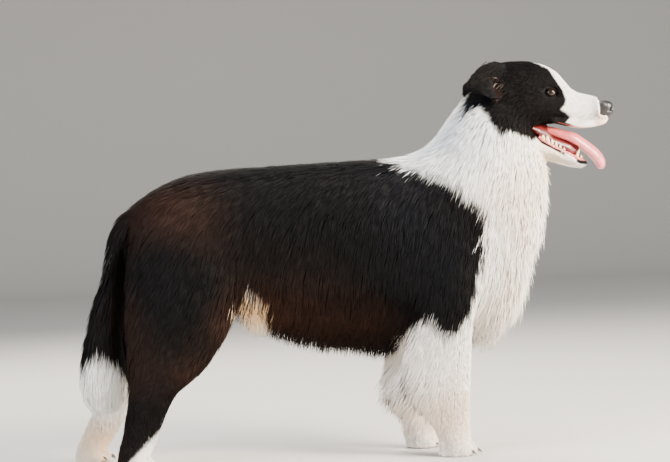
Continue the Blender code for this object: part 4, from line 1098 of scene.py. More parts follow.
def pieces_of_coat(root):
    """Region, side and choice of locks of each piece: a lock is its nearest row's and its side's."""
    region = REGION[guide_gap(root).argmin(1)]
    left = root[:, 1] > 0
    for i, title in enumerate(COAT):
        whole = (("", np.ones(len(root), bool)),)
        for side, on in whole if title == "tail" else (("_left", left), ("_right", ~left)):
            mine = (region == i) & on
            if mine.sum() >= FEWEST_LOCKS:
                yield title, side, mine


# --- materials ---------------------------------------------------------------------------------

def colour(code):
    """Linear red, green, blue and alpha of an sRGB hex code."""
    parts = [int(code[i:i + 2], 16) / 255.0 for i in (1, 3, 5)]
    return tuple(c / 12.92 if c <= 0.04045 else ((c + 0.055) / 1.055) ** 2.4 for c in parts) + (1.0,)


def add(tree, kind, inputs=(), output=0, **settings):
    """Adds a node: its settings, then its inputs, each a value or a link. Gives one of its outputs."""
    node = tree.nodes.new(kind)
    for key, value in settings.items():
        setattr(node, key, value)
    for key, value in dict(inputs).items():
        if isinstance(value, bpy.types.NodeSocket):
            tree.links.new(value, node.inputs[key])
        else:
            node.inputs[key].default_value = value
    return node.outputs[output]


def tinted(tree, ground, *tints):
    """Lays tints over a ground one after another.

    Each tint is the value that steers it, where on that value it starts and where it is full, how
    strong it is when full, and its colour.
    """
    for steer, start, full, strength, tint in tints:
        share = add(tree, "ShaderNodeMapRange", {"Value": steer, "From Min": start, "From Max": full,
                                                 "To Max": strength})
        ground = add(tree, "ShaderNodeMix", {0: share, 6: ground, 7: tint}, 2, data_type="RGBA")
    return ground


def shaded(tree, ground, *shades):
    """Multiplies a ground by factors one after another.

    Each shade is the value that steers it, that value's range, and the factors at its two ends.
    """
    for steer, low, high, at_low, at_high in shades:
        factor = add(tree, "ShaderNodeMapRange", {"Value": steer, "From Min": low, "From Max": high,
                                                  "To Min": at_low, "To Max": at_high})
        ground = add(tree, "ShaderNodeMix", {0: 1.0, 6: ground, 7: factor}, 2, data_type="RGBA",
                     blend_type="MULTIPLY")
    return ground


def finish_of(name, paint, relief, invert=False, **sockets):
    """A material from what paints it, how strong and deep its relief is, and its shader's values.

    The paint is a function that adds the pattern's nodes to the tree and gives the colour and the
    height of the relief.
    """
    made = bpy.data.materials.new(name)
    made.use_nodes = True
    tree = made.node_tree
    shader = tree.nodes["Principled BSDF"]
    tone, height = paint(tree)
    tree.links.new(tone, shader.inputs["Base Color"])
    if relief:
        bump = add(tree, "ShaderNodeBump", {"Height": height, "Strength": relief[0],
                                            "Distance": relief[1]}, invert=invert)
        tree.links.new(bump, shader.inputs["Normal"])
    for title, value in sockets.items():
        shader.inputs[title.replace("_", " ")].default_value = value
    return made


def hair_colour(tree, *streaks):
    """Black or white hair, with painted warm light and blue shade by its place, a painted shade
    towards the root, and varied lock by lock.

    Each streak is a value, its range, and the factors at its ends, first for black hair and then
    for white hair.
    """
    plan = bpy.context.scene.collie
    lot, along, warm, white = [add(tree, "ShaderNodeAttribute", output="Fac", attribute_name=name)
                               for name in ("lot", "along", "warmth", "white")]
    # painted light: a brown and a blue sheen on the black, warm sunlight and a blue shade on the white
    black = tinted(tree, plan.black_dark, (lot, 0.0, 1.0, 1.0, plan.black_light),
                   (warm, 0.0, 1.0, 0.9, plan.black_brown_sheen), (warm, 0.0, -1.0, 0.6, plan.black_blue_sheen))
    pale = tinted(tree, plan.white_dark, (lot, 0.0, 1.0, 1.0, plan.white_light),
                  (warm, 0.0, 1.0, 0.9, plan.white_sunlit_cream), (warm, 0.0, -1.0, 0.8, plan.white_blue_shade))
    hair = tinted(tree, black, (white, 0.0, 1.0, 1.0, pale))
    # the first factor is painted shade: each lock darker towards its root, where the locks over it shade it
    for steer, low, high, black_ends, white_ends in ((along, 0.0, 0.6, (0.55, 1.0), (0.85, 1.0)), *streaks):
        ends = [add(tree, "ShaderNodeMapRange", {"Value": white, "To Min": a, "To Max": b})
                for a, b in zip(black_ends, white_ends)]
        hair = shaded(tree, hair, (steer, low, high, *ends))
    return hair


def coat_material(name, rough, gloss):
    """Hair: smooth scales of keratin give long guard hair a soft gloss, short face hair is duller."""
    def paint(tree):
        strand = add(tree, "ShaderNodeUVMap", uv_map="Strand")
        # a lock holds about twelve hairs side by side: drawn as six, coarse enough to show
        strand = add(tree, "ShaderNodeMapping", {"Vector": strand, "Scale": (6.0, 0.35, 1.0)})
        lines = add(tree, "ShaderNodeTexNoise", {"Vector": strand, "Scale": 1.0, "Detail": 2.0})
        return hair_colour(tree, (lines, 0.3, 0.7, (0.65, 1.25), (0.93, 1.03))), lines

    return finish_of(name, paint, (0.35, 0.0006), Roughness=rough, Specular_IOR_Level=gloss)


def skin_material(name):
    """Skin with its underfur: a matt, finely ruffled ground in the colours of the coat over it, with
    the painted shade of the locks' roots, and a painted shade in the ear's hollow.
    """
    def paint(tree):
        place = add(tree, "ShaderNodeTexCoord", output="Object")
        # underfur ruffles about 1.5 mm apart
        ruffle = add(tree, "ShaderNodeTexNoise", {"Vector": place, "Scale": 650.0, "Detail": 3.0})
        pink = tinted(tree, colour("#b8574e"), (ruffle, 0.0, 1.0, 1.0, colour("#d98a80")))
        # painted shade: the hollow of the ear is near black
        dark = tinted(tree, colour("#080404"), (ruffle, 0.0, 1.0, 1.0, colour("#220f0d")))
        bare, ear, lip = [add(tree, "ShaderNodeAttribute", output="Fac", attribute_name=title)
                          for title in ("bare", "ear", "lip")]
        return tinted(tree, hair_colour(tree), (bare, 0.0, 1.0, 1.0, pink), (ear, 0.0, 1.0, 1.0, dark),
                      (lip, 0.0, 1.0, 1.0, colour("#0b0808"))), ruffle

    return finish_of(name, paint, (0.5, 0.0008), Roughness=0.72, Specular_IOR_Level=0.10)


# --- eyes, nose, mouth ---------------------------------------------------------------------------

# The open mouth seen from the side, as x and z, from its corner round by the palate.
MOUTH = (
    (0.362, 0.590), (0.372, 0.598), (0.386, 0.603), (0.406, 0.606), (0.429, 0.600),
    (0.450, 0.595), (0.480, 0.596), (0.512, 0.600), (0.512, 0.520), (0.470, 0.532),
    (0.449, 0.541), (0.429, 0.552), (0.409, 0.561), (0.389, 0.572), (0.371, 0.583),
)


def closed_tube(name, rows):
    """A closed solid along rings of places, from the first ring to the last, with both ends capped.

    Neighbouring rings are joined by faces of four sides, and each cap is a fan of triangles round
    the middle of its ring. The two middles come last among the mesh's points.
    """
    count, around = rows.shape[:2]
    middle = np.stack((rows[0].mean(0), rows[-1].mean(0)))
    points = np.vstack((rows.reshape(-1, 3), middle))
    i, j = np.meshgrid(np.arange(count - 1), np.arange(around), indexing="ij")
    k = (j + 1) % around
    quads = np.stack((i * around + j, i * around + k, (i + 1) * around + k, (i + 1) * around + j), -1)
    j, k = j[0], k[0]
    base, pole = (count - 1) * around, np.full(around, count * around)
    caps = np.concatenate((np.stack((k, j, pole), -1), np.stack((base + j, base + k, pole + 1), -1)))
    return outward(new_mesh(name, points, [quads.reshape(-1, 4), caps]))


def outward(mesh):
    """Turns every face of a closed shell outwards."""
    shape = bmesh.new()
    shape.from_mesh(mesh)
    bmesh.ops.recalc_face_normals(shape, faces=shape.faces)
    shape.to_mesh(mesh)
    shape.free()
    return mesh


def eye_material(name):
    """Glass eye: brown iris and black pupil under a clear, wet-looking cornea."""
    def paint(tree):
        plan = bpy.context.scene.collie
        place = add(tree, "ShaderNodeTexCoord", output="Object")
        # flecks in the iris about 1 mm apart
        fleck = add(tree, "ShaderNodeTexNoise", {"Vector": place, "Scale": 900.0, "Detail": 2.0})
        ring = add(tree, "ShaderNodeAttribute", output="Fac", attribute_name="ring")
        # the iris, then its dark rim, the pupil, and the dark edge of the white
        return tinted(tree, plan.iris_dark, (fleck, 0.0, 1.0, 1.0, plan.iris_light),
                      (ring, 0.38, 0.46, 1.0, colour("#0a0503")),
                      (ring, 0.25, 0.22, 1.0, colour("#030202")),
                      (ring, 0.52, 0.64, 1.0, colour("#140b09"))), None

    return finish_of(name, paint, (), Roughness=0.25, Specular_IOR_Level=0.10, Coat_Weight=0.6,
                     Coat_Roughness=0.03)


def eyeball(name, side, finish):
    """A ball with the cornea's low dome on it, ringed round the line of sight.

    The dome adds at most a little over a twentieth to the radius, on the line of sight, and falls
    off as one minus the square of the sine of the angle from that line over the iris's own.
    """
    rings, around = 40, 48
    polar = np.linspace(0.0, math.pi, rings + 2)[1:-1]
    dome = 1.0 + 0.055 * np.clip(1.0 - (np.sin(polar) / 0.58) ** 2, 0.0, 1.0) * (polar < 1.2)
    reach = (EYE_RADIUS * dome)[:, None, None]
    look = unit(np.array((0.62, side, 0.02)))
    over = unit(np.cross(look, (0.0, 0.0, 1.0)))
    up = np.cross(over, look)
    cos, sin = [turn[None, :, None] for turn in circle(around)]
    ahead, aside = np.cos(polar)[:, None, None], np.sin(polar)[:, None, None]
    rows = np.array(EYE_AT) * (1, side, 1) + reach * (ahead * look + aside * (cos * over + sin * up))
    mesh = closed_tube(name, rows)
    attribute(mesh, "ring", np.append(np.repeat(polar / (math.pi / 2.0), around), (0.0, 2.0)))
    return show(name, mesh, finish)


def resampled(rows, count):
    """Rows of numbers spread evenly along a smooth curve through them, in place and in value.

    Between two rows the curve is the cubic that has, at each row, half the step between its
    neighbours as its slope.
    """
    rows = np.array(rows, float)
    slope = np.gradient(rows, axis=0)
    at = np.linspace(0.0, len(rows) - 1.0, count)
    low = np.minimum(at.astype(int), len(rows) - 2)
    t = (at - low)[:, None]
    return ((2 * t ** 3 - 3 * t ** 2 + 1) * rows[low] + (t ** 3 - 2 * t ** 2 + t) * slope[low]
            + (3 * t ** 2 - 2 * t ** 3) * rows[low + 1] + (t ** 3 - t ** 2) * slope[low + 1])


# Tongue, root to tip: x and z of its upper line, x and z of its lower line, half its width.
TONGUE = (
    (0.3580, 0.5960, 0.3520, 0.5830, 0.0105), (0.3720, 0.5968, 0.3655, 0.5820, 0.0130),
    (0.3900, 0.5945, 0.3825, 0.5790, 0.0150), (0.4110, 0.5880, 0.4020, 0.5725, 0.0165),
    (0.4320, 0.5822, 0.4200, 0.5655, 0.0172), (0.4490, 0.5710, 0.4370, 0.5565, 0.0176),
    (0.4620, 0.5610, 0.4505, 0.5475, 0.0177), (0.4735, 0.5510, 0.4610, 0.5380, 0.0178),
    (0.4825, 0.5395, 0.4690, 0.5285, 0.0174), (0.4868, 0.5300, 0.4728, 0.5210, 0.0160),
    (0.4874, 0.5235, 0.4750, 0.5158, 0.0136), (0.4865, 0.5180, 0.4782, 0.5128, 0.0102),
    (0.4846, 0.5146, 0.4812, 0.5125, 0.0050),
)
TONGUE_GROOVE, TONGUE_DROOP = 0.0022, 0.0068
# How high the floor of the mouth rises at the throat, and its half width: x, then the values there.
THROAT = ((0.340, 0.368, 0.380, 0.396), (0.606, 0.6045, 0.6000, 0.570))
FLOOR_HALF = ((0.340, 0.362, 0.385, 0.420, 0.438), (0.026, 0.0245, 0.0165, 0.0135, 0.0060))
# Teeth of one side of the lower jaw, from the back: base x, distance from the middle and z, then
# height, half length, half breadth and how far the tip leans ahead.
LOWER_TEETH = (
    (0.3690, 0.0215, 0.5690, 0.0120, 0.0042, 0.0030, 0.000),
    (0.3772, 0.0207, 0.5640, 0.0142, 0.0048, 0.0032, 0.000),
    (0.3855, 0.0198, 0.5595, 0.0125, 0.0034, 0.0024, 0.001),
    (0.3930, 0.0188, 0.5555, 0.0125, 0.0032, 0.0022, 0.001),
    (0.4005, 0.0178, 0.5515, 0.0100, 0.0029, 0.0020, 0.001),
    (0.4080, 0.0168, 0.5478, 0.0075, 0.0024, 0.0018, 0.001),
    (0.4325, 0.0128, 0.5345, 0.0165, 0.0034, 0.0028, 0.006),
    (0.4395, 0.0088, 0.5325, 0.0080, 0.0020, 0.0018, 0.003),
    (0.4425, 0.0054, 0.5315, 0.0080, 0.0018, 0.0017, 0.003),
    (0.4440, 0.0019, 0.5310, 0.0080, 0.0017, 0.0016, 0.003),
)
# Teeth of one side of the upper jaw, which point down: canine, three incisors and three behind.
UPPER_TEETH = (
    (0.4700, 0.0125, 0.6050, -0.0115, 0.0034, 0.0028, 0.001),
    (0.4780, 0.0085, 0.6070, -0.0085, 0.0020, 0.0018, 0.001),
    (0.4805, 0.0050, 0.6075, -0.0085, 0.0018, 0.0017, 0.001),
    (0.4820, 0.0017, 0.6075, -0.0085, 0.0017, 0.0016, 0.001),
    (0.4300, 0.0190, 0.6020, -0.0080, 0.0032, 0.0022, 0.000),
    (0.4200, 0.0200, 0.6050, -0.0080, 0.0034, 0.0022, 0.000),
    (0.4560, 0.0160, 0.6000, -0.0060, 0.0030, 0.0020, 0.000),
)
# Gum line of one side of the lower jaw, back to front: x, distance from the middle, z and how
# thick the gum is.
GUM = (
    (0.3600, 0.0225, 0.5760, 0.0040), (0.3690, 0.0215, 0.5675, 0.0046), (0.3772, 0.0207, 0.5622, 0.0046),
    (0.3930, 0.0188, 0.5535, 0.0042), (0.4090, 0.0167, 0.5455, 0.0040), (0.4230, 0.0147, 0.5385, 0.0040),
    (0.4330, 0.0125, 0.5330, 0.0042), (0.4400, 0.0085, 0.5305, 0.0038), (0.4440, 0.0030, 0.5295, 0.0036),
)


def tongue_shape(name, finish):
    """Tongue: an oval section with sagging edges and a groove down the middle of its upper face.

    Across the tongue, height falls from the middle by the droop times the cube of the distance,
    and the groove takes away a narrow bell. The groove fades out at root and tip.
    """
    count, around = 90, 56
    rows = resampled(TONGUE, count)
    across, over = circle(around)
    top = np.column_stack((rows[:, 0] + MOUTH_SHIFT, np.zeros(count), rows[:, 1]))
    low = np.column_stack((rows[:, 2] + MOUTH_SHIFT, np.zeros(count), rows[:, 3]))
    middle, up = (top + low) / 2.0, unit(top - low)
    thick = np.linalg.norm(top - low, axis=1) / 2.0
    along = np.linspace(0.0, 1.0, count)
    side = np.sign(across) * np.abs(across) ** 0.8
    lift = np.sign(over) * np.abs(over) ** 0.75
    height = thick[:, None] * lift[None]
    droop = TONGUE_DROOP * smoothstep(0.0, 0.5, along) * (rows[:, 4] / 0.0177) ** 2
    height = height - droop[:, None] * np.abs(side[None]) ** 3
    groove = TONGUE_GROOVE * np.exp(-(side / 0.16) ** 2) * (over > 0)
    fade = smoothstep(0.05, 0.3, along) * smoothstep(1.0, 0.85, along)
    height = height - groove[None] * fade[:, None]
    aside = rows[:, 4:5] * side[None] * (1.0 + 0.03 * np.sin(along * 23.0))[:, None]
    p = middle[:, None] + up[:, None] * height[..., None] + aside[..., None] * (0.0, 1.0, 0.0)
    mesh = closed_tube(name, p)
    attribute(mesh, "along", np.append(np.repeat(along, around), (0.0, 1.0)))
    return show(name, mesh, finish)


def mouth_floor(name, finish):
    """Floor of the mouth under the tongue: a rounded wedge from the jaw up into the tongue.

    Each section across it is an oval that is narrower above than below, as one less a share of
    the sine of the turn.
    """
    x = np.linspace(0.3400, 0.4380, 48)
    rows = np.array(TONGUE)
    high = np.interp(x, rows[:, 2], rows[:, 3]) + 0.004
    high = np.maximum(high, np.interp(x, *THROAT))
    low = np.interp(x + MOUTH_SHIFT, JAW_X, JAW_TOP) - 0.006
    half = np.interp(x, *FLOOR_HALF)
    cos, sin = circle(36)
    y = half[:, None] * cos * (1.0 - 0.30 * sin)
    z = (high + low)[:, None] / 2.0 + (high - low)[:, None] / 2.0 * sin
    p = np.stack((np.broadcast_to(x[:, None] + MOUTH_SHIFT, y.shape), y, z), -1)
    mesh = closed_tube(name, p)
    attribute(mesh, "along", np.linspace(0.0, 0.3, len(mesh.vertices)))
    return show(name, mesh, finish)


def gum_shape(name, finish):
    """Gum of the lower jaw: a thick ridge round the row of teeth, dented between them.

    Its section is an oval, and its radius swells and shrinks by a tenth as a sine wave.
    """
    one = resampled(GUM, 60)
    other = one[::-1] * (1.0, -1.0, 1.0, 1.0)
    rows = np.vstack((one, other))
    middle = rows[:, :3] + (MOUTH_SHIFT, 0.0, 0.0)
    way = unit(np.gradient(middle, axis=0))
    side = unit(np.cross(way, (0.0, 0.0, 1.0)))
    up = np.cross(side, way)
    cos, sin = [turn[None, :, None] for turn in circle(20)]
    bulge = 1.0 + 0.10 * np.sin(np.arange(len(rows)) * 0.9)
    reach = (rows[:, 3] * bulge)[:, None, None]
    p = middle[:, None] + reach * (cos * side[:, None] * 0.9 + sin * up[:, None] * 1.15)
    return show(name, closed_tube(name, p), finish)


def teeth_shape(name, table, finish):
    """Both sides' teeth as one mesh.

    A tooth's width falls to its tip as the root of one less the way up to the power 1.6, and its
    middle line bends ahead by the square of the way up.
    """
    rows = np.array(table)
    rows = np.vstack((rows, rows * (1, -1, 1, 1, 1, 1, 1)))
    x, y, z, tall, half_long, half_broad, lean = rows.T[:, :, None, None]
    cos, sin = circle(12)
    t = np.linspace(0.0, 1.0, 9)
    width = (np.sqrt(np.maximum(1.0 - t ** 1.6, 0.0)) * 0.97 + 0.03)[:, None]
    x = x + MOUTH_SHIFT + lean * t[:, None] ** 2 + half_long * width * cos
    y = y + half_broad * width * sin
    z = z + tall * t[:, None] + 0.0 * x
    return show(name, joined(name, np.stack((x, y, z), -1)), finish)


def joined(name, solids):
    """Several closed solids as one mesh, each from its own rings of places."""
    meshes = [closed_tube(name, rows) for rows in solids]
    points = [corners(mesh) for mesh in meshes]
    starts = np.concatenate(([0], np.cumsum([len(p) for p in points])[:-1]))
    faces = [triangles(mesh) + start for mesh, start in zip(meshes, starts)]
    for mesh in meshes:
        bpy.data.meshes.remove(mesh)
    return outward(new_mesh(name, np.vstack(points), [np.vstack(faces)]))


NOSE_MIDDLE, NOSE_HALF = (0.4993, 0.0, 0.6252), (0.0165, 0.0168, 0.0172)
# A nostril: the way from the middle of the leather to its hole and how that changes by the end of
# its slit, then the reach of its dent in radians and its depth in metres, with their changes.
NOSTRIL_WAY, NOSTRIL_TURN = (0.84, 0.50, 0.02), (-0.66, 0.46, -0.30)
NOSTRIL_REACH, NOSTRIL_DEPTH = (0.25, -0.17), (0.0080, -0.0058)


def nose_shape(name, finish):
    """Nose leather: a rounded block with two comma-shaped nostrils and a groove below them.

    A ball squared a little by the power 0.84 ahead and 0.66 behind, flatter above and narrower
    below. Soft round dents along a row of directions make each nostril, from its hole to the end
    of its slit, and a narrow bell down the middle makes the groove.
    """
    rings, around = 90, 120
    polar = ((np.arange(rings) + 0.5) / rings * math.pi)[:, None]
    cos, sin = circle(around)
    x, y, z = np.cos(polar) + 0.0 * cos, np.sin(polar) * sin, np.sin(polar) * cos
    ball = np.stack((x, y, z), -1)
    square = np.sign(ball) * np.abs(ball) ** np.where(x < 0.0, 0.66, 0.84)[..., None]
    square[..., 2] *= 1.0 - 0.12 * smoothstep(0.2, 0.9, square[..., 2])
    square[..., 1] *= 1.0 - 0.16 * smoothstep(0.1, -1.0, square[..., 2])
    deep = np.zeros(x.shape)
    for side in SIDES:
        for share in np.linspace(0.0, 1.0, 9):
            way = np.array(NOSTRIL_WAY) + np.array(NOSTRIL_TURN) * (share, share, share ** 1.5)
            angle = np.arccos(np.clip(ball @ unit(way * (1.0, side, 1.0)), -1.0, 1.0))
            reach, dent = [start + change * share for start, change in (NOSTRIL_REACH, NOSTRIL_DEPTH)]
            deep = np.maximum(deep, dent * smoothstep(reach * 1.3, reach * 0.5, angle))
    groove = 0.0011 * np.exp(-(y / 0.06) ** 2) * smoothstep(0.25, 0.0, z) * (x > 0.0)
    p = np.array(NOSE_MIDDLE) + square * NOSE_HALF - ball * (deep + groove)[..., None]
    mesh = closed_tube(name, p)
    # the depth of each dent, which the material turns into painted shade in the nostrils
    attribute(mesh, "hole", np.append((deep / 0.0075).ravel(), (0.0, 0.0)))
    return show(name, mesh, finish)


def nose_material(name):
    """Nose leather: near-black, pebbled skin about a millimetre to the pebble, kept damp, with painted
    shade in the furrows between the pebbles and down the nostrils.
    """
    def paint(tree):
        plan = bpy.context.scene.collie
        place = add(tree, "ShaderNodeTexCoord", output="Object")
        pebble = add(tree, "ShaderNodeTexVoronoi", {"Vector": place, "Scale": 950.0}, feature="F1")
        hole = add(tree, "ShaderNodeAttribute", output="Fac", attribute_name="hole")
        # painted shade: darker towards the edges of the pebbles, and near black down the nostrils
        return tinted(tree, plan.nose_light, (pebble, 0.1, 0.7, 1.0, plan.nose_furrow_shade),
                      (hole, 0.25, 0.75, 1.0, colour("#040303"))), pebble

    return finish_of(name, paint, (0.45, 0.0004), invert=True, Roughness=0.38, Coat_Weight=0.25,
                     Coat_Roughness=0.2)


def wet_material(name, back, front, rough, grain):
    """Wet flesh of the mouth: soft pink, with small bumps of a given grain under a film of water, and
    on tongue and floor a darker colour towards the back that paints the mouth's shade.
    """
    def paint(tree):
        place = add(tree, "ShaderNodeTexCoord", output="Object")
        # bumps about 1 to 2 mm apart, and clouds of blood about 11 mm across under them
        fleck, broad = [add(tree, "ShaderNodeTexNoise", {"Vector": place, "Scale": scale, "Detail": detail})
                        for scale, detail in ((grain, 3.0), (90.0, 1.0))]
        along = add(tree, "ShaderNodeAttribute", output="Fac", attribute_name="along")
        # for tongue and floor the back colour is darker: painted shade inside the mouth
        tone = tinted(tree, back, (along, 0.10, 0.45, 1.0, front))
        return shaded(tree, tone, (broad, 0.35, 0.65, 0.90, 1.06), (fleck, 0.3, 0.7, 0.92, 1.05)), fleck

    return finish_of(name, paint, (0.35, 0.0004), Roughness=rough, Subsurface_Weight=0.12,
                     Subsurface_Radius=(0.006, 0.002, 0.001), Coat_Weight=0.35, Coat_Roughness=0.18)


def hard_material(name, scale, dark, light, **sockets):
    """Tooth enamel, clouded cream and glossy, or the dark keratin of claws and whiskers, streaked."""
    def paint(tree):
        place = add(tree, "ShaderNodeTexCoord", output="Object")
        cloud = add(tree, "ShaderNodeTexNoise", {"Vector": place, "Scale": scale, "Detail": 2.0})
        return tinted(tree, dark, (cloud, 0.0, 1.0, 1.0, light)), None

    return finish_of(name, paint, (), **sockets)


# Front of each paw's sole, x and distance to the left, and the claws: how far ahead of it each
# starts, to the side and above the ground.
PAWS = ((0.2173, -0.071), (0.1670, 0.071), (-0.3687, -0.083), (-0.4580, 0.083))
CLAWS = ((0.0085, 0.0085, 0.0108), (0.0085, -0.0085, 0.0108),
         (-0.0045, 0.0215, 0.0100), (-0.0045, -0.0215, 0.0100))
CLAW_RADIUS, CLAW_TIP, CLAW_BEND = 0.0023, 0.0002, 1.25     # the bend is in radians
WHISKERS, EAR_HAIRS = 14, 150                                # on each side of the head


def claw_shapes(name, finish):
    """All sixteen claws: each bends down along an arc and narrows to its tip.

    Its radius falls as one less the way along to the power 1.7, and its section is a little taller
    than it is wide.
    """
    t = np.linspace(0.0, 1.0, 10)
    arc = np.column_stack((np.sin(t * CLAW_BEND), 0.0 * t, -(1.0 - np.cos(t * CLAW_BEND))))
    middle = arc * bpy.context.scene.collie.claw_length
    side = np.array((0.0, 1.0, 0.0))
    up = np.cross(unit(np.gradient(middle, axis=0)), side)
    reach = (CLAW_RADIUS * (1.0 - t ** 1.7) + CLAW_TIP)[:, None, None]
    cos, sin = [turn[None, :, None] for turn in circle(14)]
    one = middle[:, None] + reach * (0.72 * cos * side + sin * up[:, None])
    claws = [one + (x + ahead, y + aside, above) for x, y in PAWS for ahead, aside, above in CLAWS]
    return show(name, joined(name, claws), finish)


def whisker_shapes(name, finish):
    """Whiskers in rows along both sides of the upper lip, each a thin blade."""
    turn = rng(31)
    x = 0.452 + 0.034 * turn.random(WHISKERS)
    y = np.interp(x, MUZZLE_X, MUZZLE_HALF) * 0.86
    start = np.column_stack((x, y, 0.606 + 0.016 * turn.random(WHISKERS)))
    way = unit(np.column_stack((turn.uniform(-0.75, -0.35, WHISKERS), np.full(WHISKERS, 0.8),
                                turn.uniform(-0.35, 0.05, WHISKERS))))
    length = turn.uniform(0.020, 0.036, WHISKERS)
    line = bent_lines(start, way, np.array((-0.18, -0.10, -0.16)), length, 5)
    line = np.concatenate((line, line * (1.0, -1.0, 1.0)))
    normals = np.broadcast_to(np.array((0.0, 0.0, 1.0)), line.shape)
    width = np.full(len(line), bpy.context.scene.collie.whisker_width)
    points, quads, ends = blades(line, normals, width)
    mesh = new_mesh(name, points.reshape(-1, 3), [quads.reshape(-1, 4), ends.reshape(-1, 3)])
    return show(name, mesh, finish)


def ear_tufts(name, finish):
    """Long thin hairs that cross the hollow of each ear from its front rim."""
    turn = rng(32)
    x, y, z, long, tall = EAR_HOLLOW
    angle = turn.uniform(-1.9, 1.9, EAR_HAIRS)
    size = turn.uniform(0.55, 1.15, EAR_HAIRS)
    start = np.column_stack((x + long * size * np.cos(angle), np.full(EAR_HAIRS, y),
                             z + tall * size * np.sin(angle)))
    lines, outwards = [], []
    for side in SIDES:
        ahead = LEFT_EAR_AHEAD if side > 0 else 0.0
        at, normal = nearest(start * (1.0, side, 1.0) + (ahead, 0.0, 0.0))
        way = unit(np.column_stack((turn.uniform(-0.9, -0.4, EAR_HAIRS),
                                    side * turn.uniform(0.05, 0.30, EAR_HAIRS),
                                    turn.uniform(-0.75, 0.25, EAR_HAIRS))))
        length = turn.uniform(0.010, 0.020, EAR_HAIRS)
        bend = np.array((-0.10, -0.20 * side, -0.25))
        lines.append(bent_lines(at - normal * 0.001, way, bend, length, 3))
        outwards.append(np.repeat(normal[:, None], 4, axis=1))
    line = np.concatenate(lines)
    count = len(line)
    width = turn.uniform(0.0004, 0.0008, count)
    pale = (turn.random(count) < 0.10) * turn.uniform(0.1, 0.5, count)
    return coat_piece(name, {
        "line": line, "normals": np.concatenate(outwards), "width": width, "root": line[:, 0],
        # the ear's hairs take a faint painted brown sheen
        "white": np.repeat(pale[:, None], 4, axis=1), "warmth": np.full(count, 0.25),
        "soft": np.full(count, SOFTNESS), "lot": turn.random(count),
        "map": round_axis(line[:, 0], AXES["head"])}, finish)


# --- what the panel lists ------------------------------------------------------------------------

def measure(name, description, default, **limits):
    """A size or a share that the panel shows."""
    return bpy.props.FloatProperty(name=name, description=description, default=default, **limits)


def swatch(name, description, code):
    """A colour that the panel shows, from its sRGB hex code."""
    return bpy.props.FloatVectorProperty(name=name, description=description, default=colour(code),
                                         size=4, min=0.0, max=1.0, subtype="COLOR")


class ColliePlan(bpy.types.PropertyGroup):
    """Sizes and colours that can be changed before the dog is made."""

    coat_share: measure("Coat share", "Share of the full number of locks", 1.0,
                        min=0.05, max=1.0, subtype="FACTOR")
    hair_length: measure("Hair length", "Length of all hair against its usual one", 1.0,
                         min=0.3, max=1.5, subtype="FACTOR")
    lock_width: measure("Lock width", "Width of all locks against their usual one", 1.0,
                        min=0.5, max=2.0, subtype="FACTOR")
    claw_length: measure("Claw length", "Length of each claw along its bend", 0.0095, unit="LENGTH")
    whisker_width: measure("Whisker width", "Width of a whisker at its root", 0.00055, unit="LENGTH")
    lens: measure("Lens", "Focal length of the camera", 98.76, unit="CAMERA")
    black_dark: swatch("Black, darkest", "Darkest locks of the black coat", "#030303")
    black_light: swatch("Black, lightest", "Lightest locks of the black coat", "#110e0d")
    # painted light on the black: a brown sheen and a blue sheen
    black_brown_sheen: swatch("Black, brown sheen", "Brown cast of the black coat on flank and thigh", "#3a241a")
    black_blue_sheen: swatch("Black, cool", "Blue cast of the black coat on shoulder and neck", "#0c0e15")
    white_dark: swatch("White, darkest", "Darkest locks of the white coat", "#f6efe4")
    white_light: swatch("White, lightest", "Lightest locks of the white coat", "#fffdf8")
    # painted light on the white: warm sunlight and a blue shade
    white_sunlit_cream: swatch("White, cream", "Cream cast of the white at the groin and the feet", "#e6b982")
    white_blue_shade: swatch("White, cool", "Cool cast of the white on the neck", "#dce3ea")
    iris_dark: swatch("Iris, dark", "Dark flecks of the brown iris", "#1a0a05")
    iris_light: swatch("Iris, light", "Light flecks of the brown iris", "#2e1509")
    # painted shade in the furrows of the nose leather
    nose_furrow_shade: swatch("Nose, dark", "Furrows between the pebbles of the nose leather", "#0f0c0d")
    nose_light: swatch("Nose, light", "Pebbles of the nose leather", "#2a2526")
    # painted shade: the tongue is darker where it lies inside the mouth
    tongue_in_shade: swatch("Tongue, back", "Tongue in the mouth", "#b8473c")
    tongue_front: swatch("Tongue, front", "Tongue outside the mouth", "#d06e72")
    gum: swatch("Gum", "Wet gum round the lower teeth", "#b4544e")
    floor: swatch("Floor", "Painted floor that the dog stands on", "#c6c3bd")


def hand_over(piece, slot, *nodes):
    """Hangs a finished piece on the body's root and hides the nodes that it stands for. Its slot is not
    used.
    """
    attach(piece, "root")
    if nodes:
        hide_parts(*nodes)


class COLLIE_OT_skin(bpy.types.Operator):
    """Makes the one skin that lies under the coat"""
    bl_idname = "collie.skin"
    bl_label = "Skin"

    def execute(self, context):
        mesh = skin_mesh()
        p, normal = corners(mesh), out(mesh)
        MADE["skin"] = mesh
        border = whiteness(p) + 0.07 * ripple(p, 0.020, 5) * coat_at(p)[1]
        for title, values in (
                ("white", smoothstep(-0.001, 0.001, border)), ("warmth", warmth(p)),
                # the skin takes the painted shade of a lock's lower part
                ("lot", 0.4 + 0.2 * ripple(p, 0.02, 3)), ("along", np.full(len(p), 0.35)),
                # the ear's share sets the painted shade in its hollow
                ("ear", smoothstep(0.0, 0.4, ear_share(p))), ("bare", pink_flesh(p, normal)),
                ("lip", dark_rims(p, normal))):
            attribute(mesh, title, values)
        hand_over(show("skin", mesh, skin_material("skin_and_underfur")), "black_coat", *FLESH)
        return {"FINISHED"}


class COLLIE_OT_eyes(bpy.types.Operator):
    """Makes both eyes"""
    bl_idname = "collie.eyes"
    bl_label = "Eyes"

    def execute(self, context):
        finish = eye_material("glass_eye")
        for side, hand in ((1.0, "left"), (-1.0, "right")):
            hand_over(eyeball(f"eye_glass_{hand}", side, finish), "eye", f"eye_{hand}")
        return {"FINISHED"}


